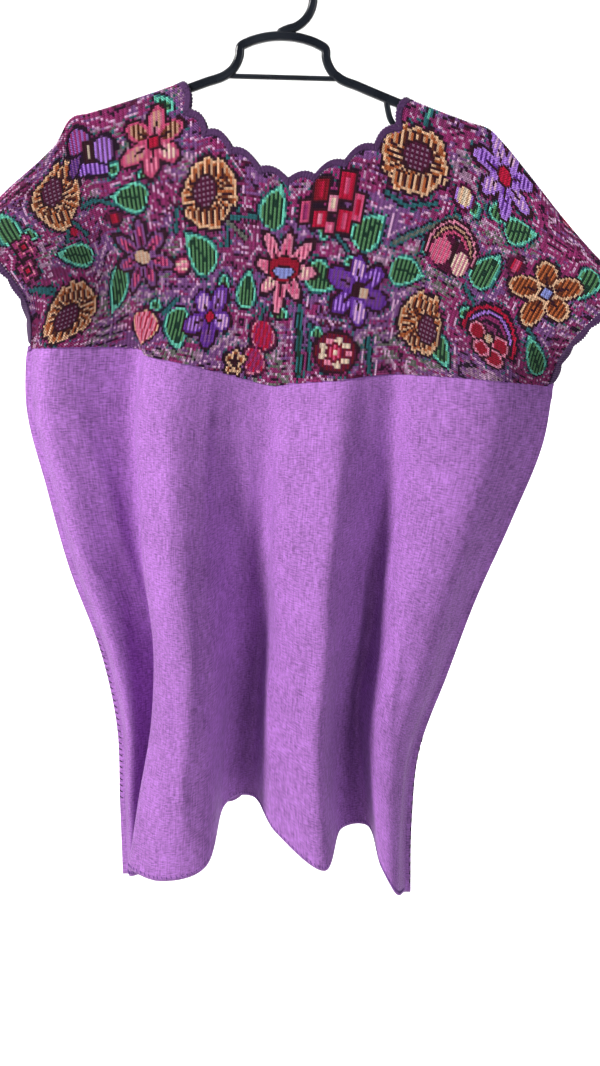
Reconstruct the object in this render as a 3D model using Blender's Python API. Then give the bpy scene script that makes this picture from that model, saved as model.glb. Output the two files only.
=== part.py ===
"""A sleeveless cross-stitch blouse of the square-cut kind, hanging on a moulded plastic hanger.

The cloth is one rectangle a side: an embroidered yoke over the shoulders and a plain lower
panel, front and back, joined at the side seams below open armholes. It is laid out in the flat
cloth's own millimetres, u across from the centre line and v down from the shoulder fold, and
hung() carries every point of it into the folds. Units in the tables are millimetres; the model
is built in metres, with the origin at the top of the hook's inside and the front towards -Y.
"""

import math

import bmesh
import bpy
import numpy as np
from mathutils import Matrix

MM = 0.001

# The flat cloth
HALF_WIDTH = 360.0
YOKE_DEPTH = 275.0
CLOTH_LENGTH = 815.0
CLOTH_HALF = 0.6
STITCH_RAISE = 1.0
PIECE_GAP = 0.3
SEAM_ALLOWANCE = 6.0

# The neck hole, a squarish oval at the cusps of its scallops, cut alike in front and back
NECK_SHIFT = -2.5
NECK_HALF_WIDTH = 124.0
NECK_DEPTH = 84.0
NECK_SQUARENESS = 2.45
NECK_SCALLOPS = 10
SCALLOP_HEIGHT = 8.5
STEPS_PER_SCALLOP = 4
STEPS_OVER_ARM = (0.0, 0.09, 0.17)

# The crocheted edging
EDGING_WIDTH = 6.5
ARMHOLE_SCALLOPS = 7
ARMHOLE_SCALLOP_HEIGHT = 2.6

# The hanger, in its own upright frame, then tilted about the hook
HOOK_RADIUS = 28.3
HOOK_TUBE = 4.3
ARM_TUBE = 4.5
ARM_START = 56.0
ARM_END = 204.0
ARM_START_DROP = 96.0
ARM_SLOPE = 0.38
ARM_SLOPE_LOSS = 0.05
BAR_TUBE = 2.4
STRAP_HOOK_TUBE = 3.0
BAR_REACH = 45.7
BAR_HEIGHT = -96.6
HANGER_TILT = math.radians(1.5)

# The cloth's middle stands this far off the arm's axis, and a little more above a sloping arm
OVER_ARM = 6.4
ABOVE_ARM = 6.9
NECK_CENTRE_X = 12.0

FRONT, BACK = -1, 1

COLOURS = {
    "embroidery": (0.20, 0.045, 0.13, 1.0),
    "cloth": (0.38, 0.14, 0.58, 1.0),
    "edging": (0.045, 0.015, 0.11, 1.0),
    "plastic": (0.008, 0.010, 0.016, 1.0),
}
ROUGHNESS = {"embroidery": 0.85, "cloth": 0.8, "edging": 0.8, "plastic": 0.38}

# The shoulder fold past the hanger's tips, where the cloth falls away
SHOULDER_FOLD = [
    # u, x, z
    (-360, -297, -225),
    (-320, -270, -199),
    (-280, -242, -175),
    (-256, -226, -159),
    (222, 217, -160),
    (250, 239, -185),
    (300, 275, -229),
    (360, 316, -278),
]

# The line under the yoke
YOKE_LINE_HEIGHT = [
    # u, z
    (-360, -360),
    (-270, -358),
    (-180, -369),
    (-90, -382),
    (0, -396),
    (90, -391),
    (180, -386),
    (270, -386),
    (360, -398),
]

# Each fold's thread u, and where it lies at the yoke line, half way down and at the hem
FRONT_FOLDS = [
    # u, yoke x, yoke y, middle x, middle y, hem x, hem y, hem z
    (-360, -260, -4, -202, -10, -176, -14, -936),  # left seam
    (-325, -242, -36, -190, -34, -170, -36, -928),  # ridge beside the seam
    (-250, -152, -14, -140, -4, -144, -8, -930),  # trough hidden by the first pleat
    (-192, -134, -44, -135, -62, -166, -66, -904),  # first pleat's edge
    (-155, -108, -50, -113, -88, -133, -92, -904),
    (-108, -78, -42, -78, -68, -84, -84, -892),
    (-62, -50, -32, -56, -22, -68, -24, -852),  # wide trough
    (-12, -20, -28, -24, -6, -38, -2, -850),
    (45, 2, -34, -5, -54, -10, -56, -868),  # second pleat
    (100, 52, -46, 40, -82, 40, -86, -896),
    (158, 84, -34, 68, -30, 60, -20, -880),  # deep trough
    (202, 108, -26, 90, -6, 90, -4, -884),
    (258, 136, -40, 112, -50, 102, -52, -908),  # third pleat
    (308, 205, -46, 146, -56, 118, -56, -938),
    (360, 270, -4, 176, -12, 132, -14, -958),  # right seam
]
BACK_FOLDS = [
    # u, yoke x, yoke y, middle x, middle y, hem x, hem y, hem z
    (-360, -260, -4, -202, -10, -176, -14, -936),
    (-318, -234, 38, -184, 42, -160, 44, -918),
    (-245, -176, 26, -144, 30, -130, 34, -896),
    (-170, -122, 58, -110, 82, -102, 92, -890),
    (-92, -64, 28, -62, 34, -64, 38, -874),
    (-15, -8, 56, -18, 80, -30, 92, -872),
    (60, 48, 26, 26, 32, 8, 36, -880),
    (136, 102, 58, 70, 82, 42, 94, -886),
    (210, 154, 28, 104, 34, 76, 38, -892),
    (300, 222, 48, 150, 58, 110, 64, -916),
    (360, 270, -4, 176, -12, 132, -14, -958),
]
FOLDS = {FRONT: FRONT_FOLDS, BACK: BACK_FOLDS}

# The side seams' run down the lower panels
SEAMS = [
    # share of the way down, left seam x, right seam x
    (0.00, -260, 270),
    (0.10, -262, 262),
    (0.25, -244, 231),
    (0.40, -223, 196),
    (0.55, -194, 167),
    (0.70, -178, 139),
    (0.85, -177, 132),
    (1.00, -176, 132),
]

SLEEVE_BULGE = 68.0
SLEEVE_ROUNDING = 0.8
SLEEVE_BOW = 10.0
SLEEVE_INSET = {-1: 14.0, 1: -2.0}
SLEEVE_START = 200.0
NECK_STAND_OFF = 9.0

# Rows of the yoke's grid, closer where the cloth rounds the hanger's arm
YOKE_ROWS = (0.2, 3.2, 6.4, 10, 28, 52, 78, 104, 130, 156, 182, 206, 230, 253, YOKE_DEPTH - 0.15)
LOWER_ROWS = 9
SHOULDER_COLUMNS = 11
YOKE_FAN = 216.0


def column(rows, index):
    return np.array([row[index] for row in rows], float)


def smooth(at, stations, values):
    """A curve through the values at the stations, straight past its ends."""
    slopes = np.gradient(values, stations)
    i = np.clip(np.searchsorted(stations, at) - 1, 0, len(stations) - 2)
    step = stations[i + 1] - stations[i]
    raw = (at - stations[i]) / step
    t = np.clip(raw, 0.0, 1.0)
    t2, t3 = t * t, t * t * t
    curve = (
        (2 * t3 - 3 * t2 + 1) * values[i]
        + (t3 - 2 * t2 + t) * step * slopes[i]
        + (3 * t2 - 2 * t3) * values[i + 1]
        + (t3 - t2) * step * slopes[i + 1]
    )
    past = (raw - t) * step * np.where(raw > 1, slopes[i + 1], slopes[i])
    return curve + past


def table(at, rows, index):
    return smooth(at, column(rows, 0), column(rows, index))


def mix(a, b, share):
    return a + (b - a) * share


def ease(t):
    t = np.clip(t, 0.0, 1.0)
    return t * t * (3 - 2 * t)


def tilted(x, z):
    """A point of the upright hanger, turned about the hook."""
    c, s = math.cos(HANGER_TILT), math.sin(HANGER_TILT)
    return x * c + z * s, z * c - x * s


def arm_height(reach):
    """Height of the arm's axis at a distance from the hanger's middle, upright."""
    out = np.abs(reach) - ARM_START
    bend = ARM_SLOPE_LOSS / (ARM_END - ARM_START) / 2
    return -ARM_START_DROP - ARM_SLOPE * out + bend * out * out


def shoulder_fold():
    """The whole fold line's table: the rows past the tips, and rows that ride on the arms."""
    on_arms = []
    for u in (-232, -216, -185, -150, -118, -92, 92, 118, 150, 180, 198):
        reach = NECK_CENTRE_X + 3 + u * 0.955
        over_tip = 1.8 * (abs(reach) / ARM_END) ** 8
        x, z = tilted(reach, arm_height(reach) + ABOVE_ARM + over_tip)
        on_arms.append((u, x, z))
    middle = (0, NECK_CENTRE_X, -121)
    return sorted(SHOULDER_FOLD + on_arms + [middle])


FOLD_LINE = shoulder_fold()


def lower_panel(side, u, v):
    """Points under the yoke line, between the places each thread has there and at the hem."""
    down = (v - YOKE_DEPTH) / (CLOTH_LENGTH - YOKE_DEPTH)
    folds = FOLDS[side]
    levels = np.array([0.0, 0.5, 1.0])
    across, y = 0.0, 0.0
    for level in range(3):
        share = smooth(down, levels, np.eye(3)[level])
        first, last = folds[0][1 + 2 * level], folds[-1][1 + 2 * level]
        across = across + share * (table(u, folds, 1 + 2 * level) - first) / (last - first)
        y = y + share * table(u, folds, 2 + 2 * level)
    x = mix(table(down, SEAMS, 1), table(down, SEAMS, 2), across)
    z = mix(table(u, YOKE_LINE_HEIGHT, 1), table(u, folds, 7), down)
    return x, y, z


def upper_panel(side, u, v):
    """Points of the yoke: over the arm, then down to the yoke line, round at the sleeve."""
    folds = FOLDS[side]
    down = v / YOKE_DEPTH
    quarter = OVER_ARM * math.pi / 2
    turn = np.clip(v / OVER_ARM, 0.0, math.pi / 2)
    drop = OVER_ARM * (1 - np.cos(turn)) + np.maximum(v - quarter, 0.0)
    drop = drop / (OVER_ARM + YOKE_DEPTH - quarter)
    sleeve = ease((np.abs(u) - SLEEVE_START) / (HALF_WIDTH - SLEEVE_START))
    drop = mix(drop, down**1.5, 0.6 * sleeve)
    inset = np.where(u < 0, SLEEVE_INSET[-1], SLEEVE_INSET[1])
    bow = SLEEVE_BOW * np.sin(2 * math.pi * down) - inset * np.sin(math.pi * down)
    x = mix(table(u, FOLD_LINE, 1), table(u, folds, 1), drop) + np.sign(u) * sleeve * bow
    z = mix(table(u, FOLD_LINE, 2), table(u, YOKE_LINE_HEIGHT, 1), drop)
    depth = side * table(u, folds, 2)
    hanging = OVER_ARM * np.sin(turn) + (depth - OVER_ARM) * down**1.7
    neck = np.cos(np.clip(u / NECK_HALF_WIDTH, -1, 1) * math.pi / 2) ** 2
    hanging = hanging + NECK_STAND_OFF * neck * np.sin(math.pi * down)
    rounded = np.sin(math.pi * np.clip(down, 0, 1) ** SLEEVE_ROUNDING)
    open_sleeve = depth * down**2 + SLEEVE_BULGE * rounded
    return x, side * mix(hanging, open_sleeve, sleeve), z


def hung(side, u, v):
    """The cloth's middle at flat-cloth places u, v, in millimetres, as an array of points."""
    u, v = np.broadcast_arrays(np.asarray(u, float), np.asarray(v, float))
    upper = upper_panel(side, u, np.clip(v, 0.0, YOKE_DEPTH))
    lower = lower_panel(side, u, np.maximum(v, YOKE_DEPTH))
    points = [np.where(v < YOKE_DEPTH, a, b) for a, b in zip(upper, lower)]
    return np.stack(points, axis=-1)


def outward(side, u, v, reach=2.0):
    """The cloth's unit normal there, away from the body."""
    above, below = np.maximum(v - reach, 0.0), v + reach
    across = hung(side, u + reach, v) - hung(side, u - reach, v)
    down = hung(side, u, below) - hung(side, u, above)
    normal = side * np.cross(across, down)
    return normal / np.linalg.norm(normal, axis=-1, keepdims=True)


def material(name):
    found = bpy.data.materials.get(name)
    if found:
        return found
    made = bpy.data.materials.new(name)
    made.use_nodes = True
    shader = made.node_tree.nodes["Principled BSDF"]
    shader.inputs["Base Color"].default_value = COLOURS[name]
    shader.inputs["Roughness"].default_value = ROUGHNESS[name]
    shader.inputs["Metallic"].default_value = 0.0
    made.diffuse_color = COLOURS[name]
    return made


def add_object(name, mesh, finish, collection):
    bm = bmesh.new()
    bm.from_mesh(mesh)
    bmesh.ops.recalc_face_normals(bm, faces=bm.faces)
    bm.to_mesh(mesh)
    bm.free()
    mesh.shade_smooth()
    mesh.set_sharp_from_angle(angle=math.radians(50))
    mesh.materials.append(material(finish))
    made = bpy.data.objects.new(name, mesh)
    collection.objects.link(made)
    return made


def ring_faces(rows, columns, closed_rows, closed_columns):
    """Quads of a grid of rows x columns points, optionally closed on itself either way."""
    faces = []
    for i in range(rows if closed_rows else rows - 1):
        for j in range(columns if closed_columns else columns - 1):
            below, right = (i + 1) % rows, (j + 1) % columns
            faces.append(
                (
                    i * columns + j,
                    i * columns + right,
                    below * columns + right,
                    below * columns + j,
                )
            )
    return faces


def wall(name, middle, normals, outer, inner, finish, collection):
    """A closed wall of cloth from its middle's grid: an outer and an inner sheet, and rims."""
    rows, columns = middle.shape[:2]
    sheets = [middle + normals * outer, middle - normals * inner]
    points = np.concatenate([sheet.reshape(-1, 3) for sheet in sheets]) * MM
    count = rows * columns
    front = ring_faces(rows, columns, False, False)
    faces = front + [tuple(count + k for k in reversed(face)) for face in front]
    border = [j for j in range(columns)]
    border += [i * columns + columns - 1 for i in range(1, rows)]
    border += [(rows - 1) * columns + j for j in range(columns - 2, -1, -1)]
    border += [i * columns for i in range(rows - 2, 0, -1)]
    for a, b in zip(border, border[1:] + border[:1]):
        faces.append((b, a, count + a, count + b))
    mesh = bpy.data.meshes.new(name)
    mesh.from_pydata(points.tolist(), [], faces)
    return add_object(name, mesh, finish, collection)


def neck_edge():
    """The scalloped cut in flat-cloth places: points, with the way out of the cloth there."""
    turn = np.linspace(-math.pi / 2, math.pi / 2, 4001)
    power = 2 / NECK_SQUARENESS
    oval_u = NECK_HALF_WIDTH * np.sign(turn) * np.abs(np.sin(turn)) ** power
    oval_v = NECK_DEPTH * np.abs(np.cos(turn)) ** power
    lengths = np.hypot(np.diff(oval_u), np.diff(oval_v))
    run = np.concatenate([[0.0], np.cumsum(lengths)])
    share = np.arange(1, NECK_SCALLOPS * STEPS_PER_SCALLOP) / STEPS_PER_SCALLOP
    over_arm = np.array(STEPS_OVER_ARM)
    share = np.concatenate([over_arm, share, NECK_SCALLOPS - over_arm[::-1]])
    place = share / NECK_SCALLOPS * run[-1]
    base = np.stack([np.interp(place, run, oval_u), np.interp(place, run, oval_v)], axis=-1)
    base[[0, -1], 1] = 0.0
    size = np.array([NECK_HALF_WIDTH, NECK_DEPTH])
    inward = -np.sign(base) * np.abs(base / size) ** (NECK_SQUARENESS - 1) / size
    inward /= np.linalg.norm(inward, axis=1, keepdims=True)
    height = SCALLOP_HEIGHT * np.abs(np.sin(math.pi * share)) ** 0.9
    edge = base + inward * height[:, None]
    edge[:, 0] += NECK_SHIFT
    # The shoulder cusps lie on the fold, where the other side's edge mirrors this one.
    mirrored = np.array([1.0, -1.0])
    before, after = edge[1] * mirrored, edge[-2] * mirrored
    ring = np.concatenate([[before], edge, [after]])
    return edge, ways_out(ring)


def ways_out(ring):
    """For each inner point of a polyline, the mitred way to its left-hand side."""
    along = np.diff(ring, axis=0)
    along /= np.linalg.norm(along, axis=1, keepdims=True)
    sides = np.stack([along[:, 1], -along[:, 0]], axis=-1)
    mean = sides[:-1] + sides[1:]
    return 2 * mean / np.sum(mean * mean, axis=1, keepdims=True)


def yoke_grid():
    """Flat-cloth places of the yoke's grid: rows from the fold or the neck to the yoke line."""
    edge, _ = neck_edge()
    left_top = np.linspace(-HALF_WIDTH, edge[0, 0], SHOULDER_COLUMNS, endpoint=False)
    right_top = np.linspace(HALF_WIDTH, edge[-1, 0], SHOULDER_COLUMNS, endpoint=False)
    side_foot = np.linspace(HALF_WIDTH, YOKE_FAN, SHOULDER_COLUMNS, endpoint=False)
    top_u = np.concatenate([left_top, edge[:, 0], right_top[::-1]])
    top_v = np.concatenate([0 * left_top, edge[:, 1], 0 * left_top])
    neck_foot = np.linspace(-YOKE_FAN, YOKE_FAN, len(edge))
    foot_u = np.concatenate([-side_foot, neck_foot, side_foot[::-1]])
    share = (np.array(YOKE_ROWS) - YOKE_ROWS[0]) / (YOKE_ROWS[-1] - YOKE_ROWS[0])
    share = share[:, None]
    u = mix(top_u, foot_u, 1 - (1 - share) ** 2)
    v = mix(np.maximum(top_v, YOKE_ROWS[0]), YOKE_ROWS[-1], share)
    return u, v


def parted(points, side, u, seam_gap):
    """Keeps the front's and the back's edges apart where they meet at the side seam."""
    near = np.clip(1 - (HALF_WIDTH - np.abs(u)) / 12.0, 0, 1)
    points[..., 1] += side * seam_gap * near
    return points


def yoke(name, side, collection):
    u, v = yoke_grid()
    outer = CLOTH_HALF + STITCH_RAISE
    points = hung(side, u, v)
    low = ease(v / YOKE_DEPTH) * 1.0
    points = parted(points, side, u, low * (outer + PIECE_GAP / 2))
    wall(name, points, outward(side, u, v), outer, CLOTH_HALF, "embroidery", collection)


def lower(name, side, collection):
    u = yoke_grid()[0][-1:]
    start = YOKE_DEPTH + PIECE_GAP / 2
    v = np.linspace(start, CLOTH_LENGTH, LOWER_ROWS + 1)[:, None]
    u, v = np.broadcast_arrays(u, v)
    points = parted(hung(side, u, v), side, u, CLOTH_HALF + PIECE_GAP / 2)
    normals = outward(side, u, v)
    # The seam allowance is a flat strip past each side edge, lying on the other panel's.
    flat = np.zeros_like(normals[:, 0])
    flat[:, 1] = side
    strips = []
    for edge, way in ((0, -1), (-1, 1)):
        strip = points[:, edge].copy()
        strip[:, 0] += way * SEAM_ALLOWANCE
        strip[0, 2] -= 4.0
        strips.append(strip)
        normals[:, edge] = normals[:, edge] + flat
        normals[:, edge] /= np.linalg.norm(normals[:, edge], axis=-1, keepdims=True)
    points = np.concatenate([strips[0][:, None], points, strips[1][:, None]], axis=1)
    normals = np.concatenate([flat[:, None], normals, flat[:, None]], axis=1)
    wall(name, points, normals, CLOTH_HALF, CLOTH_HALF, "cloth", collection)


# The edging's section: the distance out from the cloth's edge, and off its middle
EDGING_SECTION = [(0.0, -0.8), (0.5, -1.1), (1.0, -0.5), (1.0, 1.1), (0.5, 2.0), (0.0, 1.5)]


def neck_edging(collection):
    """A closed scalloped band round the neck, just outside the cut, front and back."""
    edge, way = neck_edge()
    halves = []
    for side in (FRONT, BACK):
        rings = []
        for i in range(len(edge)):
            normal = outward(side, edge[i, 0], edge[i, 1])
            if i in (0, len(edge) - 1):
                normal = outward(FRONT, edge[i, 0], 0.0) + outward(BACK, edge[i, 0], 0.0)
                normal = normal / np.linalg.norm(normal)
            ring = []
            for across, off in EDGING_SECTION:
                reach = PIECE_GAP + across * EDGING_WIDTH
                u, v = edge[i] + way[i] * reach
                ring.append(hung(side, u, max(v, 0.0)) + normal * off)
            rings.append(ring)
        halves.append(rings)
    band("neck_edging", halves[0] + halves[1][-2:0:-1], collection)


def armhole_frame(side, hand, v):
    """The cloth edge's middle at an armhole, and its unit ways across and outward."""
    u = hand * HALF_WIDTH
    corners = hung(side, u, np.array(YOKE_ROWS))
    middle = np.array([np.interp(v, YOKE_ROWS, corners[:, axis]) for axis in range(3)])
    low = ease(v / YOKE_DEPTH) * (CLOTH_HALF + STITCH_RAISE + PIECE_GAP / 2)
    middle[1] += side * low
    normal = outward(side, u, v)
    across = middle - hung(side, u - hand * 2.0, v)
    across[1] -= side * low
    down = hung(side, u, v + 1.0) - hung(side, u, max(v - 1.0, 0.0))
    down /= np.linalg.norm(down)
    across -= down * np.dot(across, down)
    return middle, across / np.linalg.norm(across), normal


def armhole_edging(name, hand, collection):
    """A closed band round an armhole, carrying on sideways from the cloth's edge."""
    steps = ARMHOLE_SCALLOPS * STEPS_PER_SCALLOP
    halves = []
    for side in (FRONT, BACK):
        rings = []
        for k in range(steps + 1):
            share = k / steps
            v = share * (YOKE_DEPTH - 4.0)
            middle, across, normal = armhole_frame(side, hand, v)
            if k in (0, steps):
                other = armhole_frame(-side, hand, v)
                middle, across = (middle + other[0]) / 2, across + other[1]
                normal = normal + other[2] if k == 0 else np.array([0.0, 0.0, -0.7])
                across, normal = across / np.linalg.norm(across), normal / max(np.linalg.norm(normal), 1)
            scallop = abs(math.sin(math.pi * share * ARMHOLE_SCALLOPS)) ** 0.9
            width = EDGING_WIDTH - 1.0 + ARMHOLE_SCALLOP_HEIGHT * scallop
            ring = []
            for out, off in EDGING_SECTION:
                ring.append(middle + across * (PIECE_GAP + 0.3 + out * width) + normal * off)
            rings.append(ring)
        halves.append(rings)
    band(name, halves[0] + halves[1][-2:0:-1], collection)


def band(name, rings, collection):
    points = np.array(rings).reshape(-1, 3) * MM
    faces = ring_faces(len(rings), len(EDGING_SECTION), True, True)
    mesh = bpy.data.meshes.new(name)
    mesh.from_pydata(points.tolist(), [], faces)
    add_object(name, mesh, "edging", collection)


def rod(name, path, radius):
    """A round rod along a path in the hanger's plane, as a closed mesh."""
    data = bpy.data.curves.new(name, "CURVE")
    data.dimensions = "3D"
    data.bevel_depth = radius * MM
    data.bevel_resolution = 3
    data.use_fill_caps = True
    spline = data.splines.new("POLY")
    spline.points.add(len(path) - 1)
    for point, (x, z) in zip(spline.points, path):
        tx, tz = tilted(x, z)
        point.co = (tx * MM, 0.0, tz * MM, 1.0)
    curve = bpy.data.objects.new(name, data)
    bpy.context.scene.collection.objects.link(curve)
    graph = bpy.context.evaluated_depsgraph_get()
    mesh = bpy.data.meshes.new_from_object(curve.evaluated_get(graph))
    bpy.data.objects.remove(curve)
    bm = bmesh.new()
    bm.from_mesh(mesh)
    bmesh.ops.remove_doubles(bm, verts=bm.verts, dist=0.00001)
    bmesh.ops.recalc_face_normals(bm, faces=bm.faces)
    bm.to_mesh(mesh)
    bm.free()
    return mesh


def hanger_arm_path(hand):
    """An arm's axis from its tip in to the top of the upright that carries it."""
    arm = [(reach, arm_height(reach)) for reach in np.linspace(ARM_END, ARM_START, 9)]
    upright = [(49.5, -91.0), (45.0, -84.5), (42.5, -77.5), (41.75, -72.5)]
    return [(hand * x, z) for x, z in arm + upright]


def hanger_middle_path():
    """The raised middle's axis, between the two uprights."""
    half = [(-41.7, -72.15), (-41.2, -68.8), (-34.0, -65.0), (-22.0, -61.0), (-11.0, -59.0)]
    return half + [(0.0, -58.4)] + [(-x, z) for x, z in reversed(half)]


def hook_path():
    """From the frame's middle round to the hook's free end."""
    base = [(-6.0, -57.0)]
    turn = np.radians(np.linspace(-80, 170, 21))
    centre = -(HOOK_RADIUS - HOOK_TUBE)
    round_part = zip(HOOK_RADIUS * np.cos(turn), centre + HOOK_RADIUS * np.sin(turn))
    return base + [(float(x), float(z)) for x, z in round_part]


def strap_hook_path(hand):
    """A short tongue under the arm that keeps straps from slipping."""
    return [(hand * x, z) for x, z in ((103, -114), (105, -124), (108.5, -134), (114, -140), (121, -142))]


def joined(main, name, mesh, helpers):
    """Adds a rod to a solid by a union."""
    helper = add_object(name, mesh, "plastic", helpers)
    helper.hide_render = True
    helper.display_type = "WIRE"
    join = main.modifiers.new(name, "BOOLEAN")
    join.operation = "UNION"
    join.solver = "EXACT"
    join.object = helper


def hanger(collection, helpers):
    """The raised middle with its hook, the two arms and the bar, as four solids."""
    middle = rod("hanger_middle", hanger_middle_path(), ARM_TUBE)
    middle = add_object("hanger_middle", middle, "plastic", collection)
    joined(middle, "hook", rod("hook", hook_path(), HOOK_TUBE), helpers)
    for hand, word in ((-1, "left"), (1, "right")):
        name = "hanger_%s_arm" % word
        arm = add_object(name, rod(name, hanger_arm_path(hand), ARM_TUBE), "plastic", collection)
        tongue = word + "_strap_hook"
        joined(arm, tongue, rod(tongue, strap_hook_path(hand), STRAP_HOOK_TUBE), helpers)
    ends = [(-BAR_REACH, BAR_HEIGHT), (BAR_REACH, BAR_HEIGHT)]
    add_object("hanger_bar", rod("hanger_bar", ends, BAR_TUBE), "plastic", collection)


def main():
    for old in list(bpy.data.objects):
        bpy.data.objects.remove(old)
    scene = bpy.context.scene.collection
    blouse = bpy.data.collections.new("cross_stitch_blouse")
    helpers = bpy.data.collections.new("helpers")
    scene.children.link(blouse)
    scene.children.link(helpers)
    yoke("front_yoke", FRONT, blouse)
    yoke("back_yoke", BACK, blouse)
    lower("front_lower", FRONT, blouse)
    lower("back_lower", BACK, blouse)
    neck_edging(blouse)
    armhole_edging("left_armhole_edging", -1, blouse)
    armhole_edging("right_armhole_edging", 1, blouse)
    hanger(blouse, helpers)


main()
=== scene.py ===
"""The looks of a cross-stitch blouse hanging on a plastic hanger.

The cloth is laid out flat in its own millimetres, u across from the centre line and v down from
the shoulder fold, and hung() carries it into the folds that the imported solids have. The yokes are
covered with cross-stitches, one small raised quad each, coloured from a chart that the functions
below paint motif by motif. Tables are in millimetres or stitches, and meshes in metres.
"""

import math

import bmesh
import bpy
import numpy as np
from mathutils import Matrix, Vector


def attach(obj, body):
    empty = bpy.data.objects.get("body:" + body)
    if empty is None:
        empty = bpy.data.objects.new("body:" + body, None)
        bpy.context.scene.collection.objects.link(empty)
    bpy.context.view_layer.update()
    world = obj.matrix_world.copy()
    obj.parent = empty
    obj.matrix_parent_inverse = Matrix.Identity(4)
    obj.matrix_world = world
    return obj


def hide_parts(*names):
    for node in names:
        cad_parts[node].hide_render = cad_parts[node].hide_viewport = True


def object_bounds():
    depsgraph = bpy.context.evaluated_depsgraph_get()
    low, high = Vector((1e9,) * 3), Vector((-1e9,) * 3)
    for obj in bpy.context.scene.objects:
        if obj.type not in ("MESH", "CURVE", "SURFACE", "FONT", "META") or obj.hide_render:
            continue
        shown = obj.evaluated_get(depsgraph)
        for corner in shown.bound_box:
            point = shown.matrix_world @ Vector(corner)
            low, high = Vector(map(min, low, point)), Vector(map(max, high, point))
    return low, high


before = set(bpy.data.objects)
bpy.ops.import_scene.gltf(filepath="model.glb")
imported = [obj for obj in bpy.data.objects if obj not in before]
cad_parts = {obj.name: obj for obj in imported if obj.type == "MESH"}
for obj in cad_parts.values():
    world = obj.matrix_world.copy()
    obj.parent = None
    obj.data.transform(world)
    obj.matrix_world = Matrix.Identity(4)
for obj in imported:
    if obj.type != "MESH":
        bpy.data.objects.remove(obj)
cad_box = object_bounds()

MM = 0.001
FRONT, BACK = -1, 1

# The flat cloth
HALF_WIDTH = 360.0
YOKE_DEPTH = 275.0
CLOTH_LENGTH = 815.0
PIECE_GAP = 0.3

# The neck hole
NECK_SHIFT = -2.5
NECK_HALF_WIDTH = 124.0
NECK_DEPTH = 84.0
NECK_SQUARENESS = 2.45
NECK_SCALLOPS = 10
SCALLOP_HEIGHT = 8.5

# The crocheted edging
EDGING_WIDTH = 6.5
ARMHOLE_SCALLOPS = 7
ARMHOLE_SCALLOP_HEIGHT = 2.6

# The hanger, in its own upright frame, then tilted about the hook
HOOK_RADIUS = 28.3
HOOK_TUBE = 4.3
ARM_TUBE = 4.5
ARM_START = 56.0
ARM_END = 204.0
ARM_START_DROP = 96.0
ARM_SLOPE = 0.38
ARM_SLOPE_LOSS = 0.05
HANGER_TILT = math.radians(1.5)

OVER_ARM = 6.4
ABOVE_ARM = 6.9
NECK_CENTRE_X = 12.0

SHOULDER_FOLD = [
    # u, x, z
    (-360, -297, -225),
    (-320, -270, -199),
    (-280, -242, -175),
    (-256, -226, -159),
    (222, 217, -160),
    (250, 239, -185),
    (300, 275, -229),
    (360, 316, -278),
]
YOKE_LINE_HEIGHT = [
    # u, z
    (-360, -360),
    (-270, -358),
    (-180, -369),
    (-90, -382),
    (0, -396),
    (90, -391),
    (180, -386),
    (270, -386),
    (360, -398),
]
FRONT_FOLDS = [
    # u, yoke x, yoke y, middle x, middle y, hem x, hem y, hem z
    (-360, -260, -4, -202, -10, -176, -14, -936),  # left seam
    (-325, -242, -36, -190, -34, -170, -36, -928),  # ridge beside the seam
    (-250, -152, -14, -140, -4, -144, -8, -930),  # trough hidden by the first pleat
    (-192, -134, -44, -135, -62, -166, -66, -904),  # first pleat's edge
    (-155, -108, -50, -113, -88, -133, -92, -904),
    (-108, -78, -42, -78, -68, -84, -84, -892),
    (-62, -50, -32, -56, -22, -68, -24, -852),  # wide trough
    (-12, -20, -28, -24, -6, -38, -2, -850),
    (45, 2, -34, -5, -54, -10, -56, -868),  # second pleat
    (100, 52, -46, 40, -82, 40, -86, -896),
    (158, 84, -34, 68, -30, 60, -20, -880),  # deep trough
    (202, 108, -26, 90, -6, 90, -4, -884),
    (258, 136, -40, 112, -50, 102, -52, -908),  # third pleat
    (308, 205, -46, 146, -56, 118, -56, -938),
    (360, 270, -4, 176, -12, 132, -14, -958),  # right seam
]
BACK_FOLDS = [
    # u, yoke x, yoke y, middle x, middle y, hem x, hem y, hem z
    (-360, -260, -4, -202, -10, -176, -14, -936),
    (-318, -234, 38, -184, 42, -160, 44, -918),
    (-245, -176, 26, -144, 30, -130, 34, -896),
    (-170, -122, 58, -110, 82, -102, 92, -890),
    (-92, -64, 28, -62, 34, -64, 38, -874),
    (-15, -8, 56, -18, 80, -30, 92, -872),
    (60, 48, 26, 26, 32, 8, 36, -880),
    (136, 102, 58, 70, 82, 42, 94, -886),
    (210, 154, 28, 104, 34, 76, 38, -892),
    (300, 222, 48, 150, 58, 110, 64, -916),
    (360, 270, -4, 176, -12, 132, -14, -958),
]
FOLDS = {FRONT: FRONT_FOLDS, BACK: BACK_FOLDS}
SEAMS = [
    # share of the way down, left seam x, right seam x
    (0.00, -260, 270),
    (0.10, -262, 262),
    (0.25, -244, 231),
    (0.40, -223, 196),
    (0.55, -194, 167),
    (0.70, -178, 139),
    (0.85, -177, 132),
    (1.00, -176, 132),
]
SLEEVE_BULGE = 68.0
SLEEVE_ROUNDING = 0.8
SLEEVE_BOW = 10.0
SLEEVE_INSET = {-1: 14.0, 1: -2.0}
SLEEVE_START = 200.0
NECK_STAND_OFF = 9.0


def column(rows, index):
    return np.array([row[index] for row in rows], float)


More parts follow.
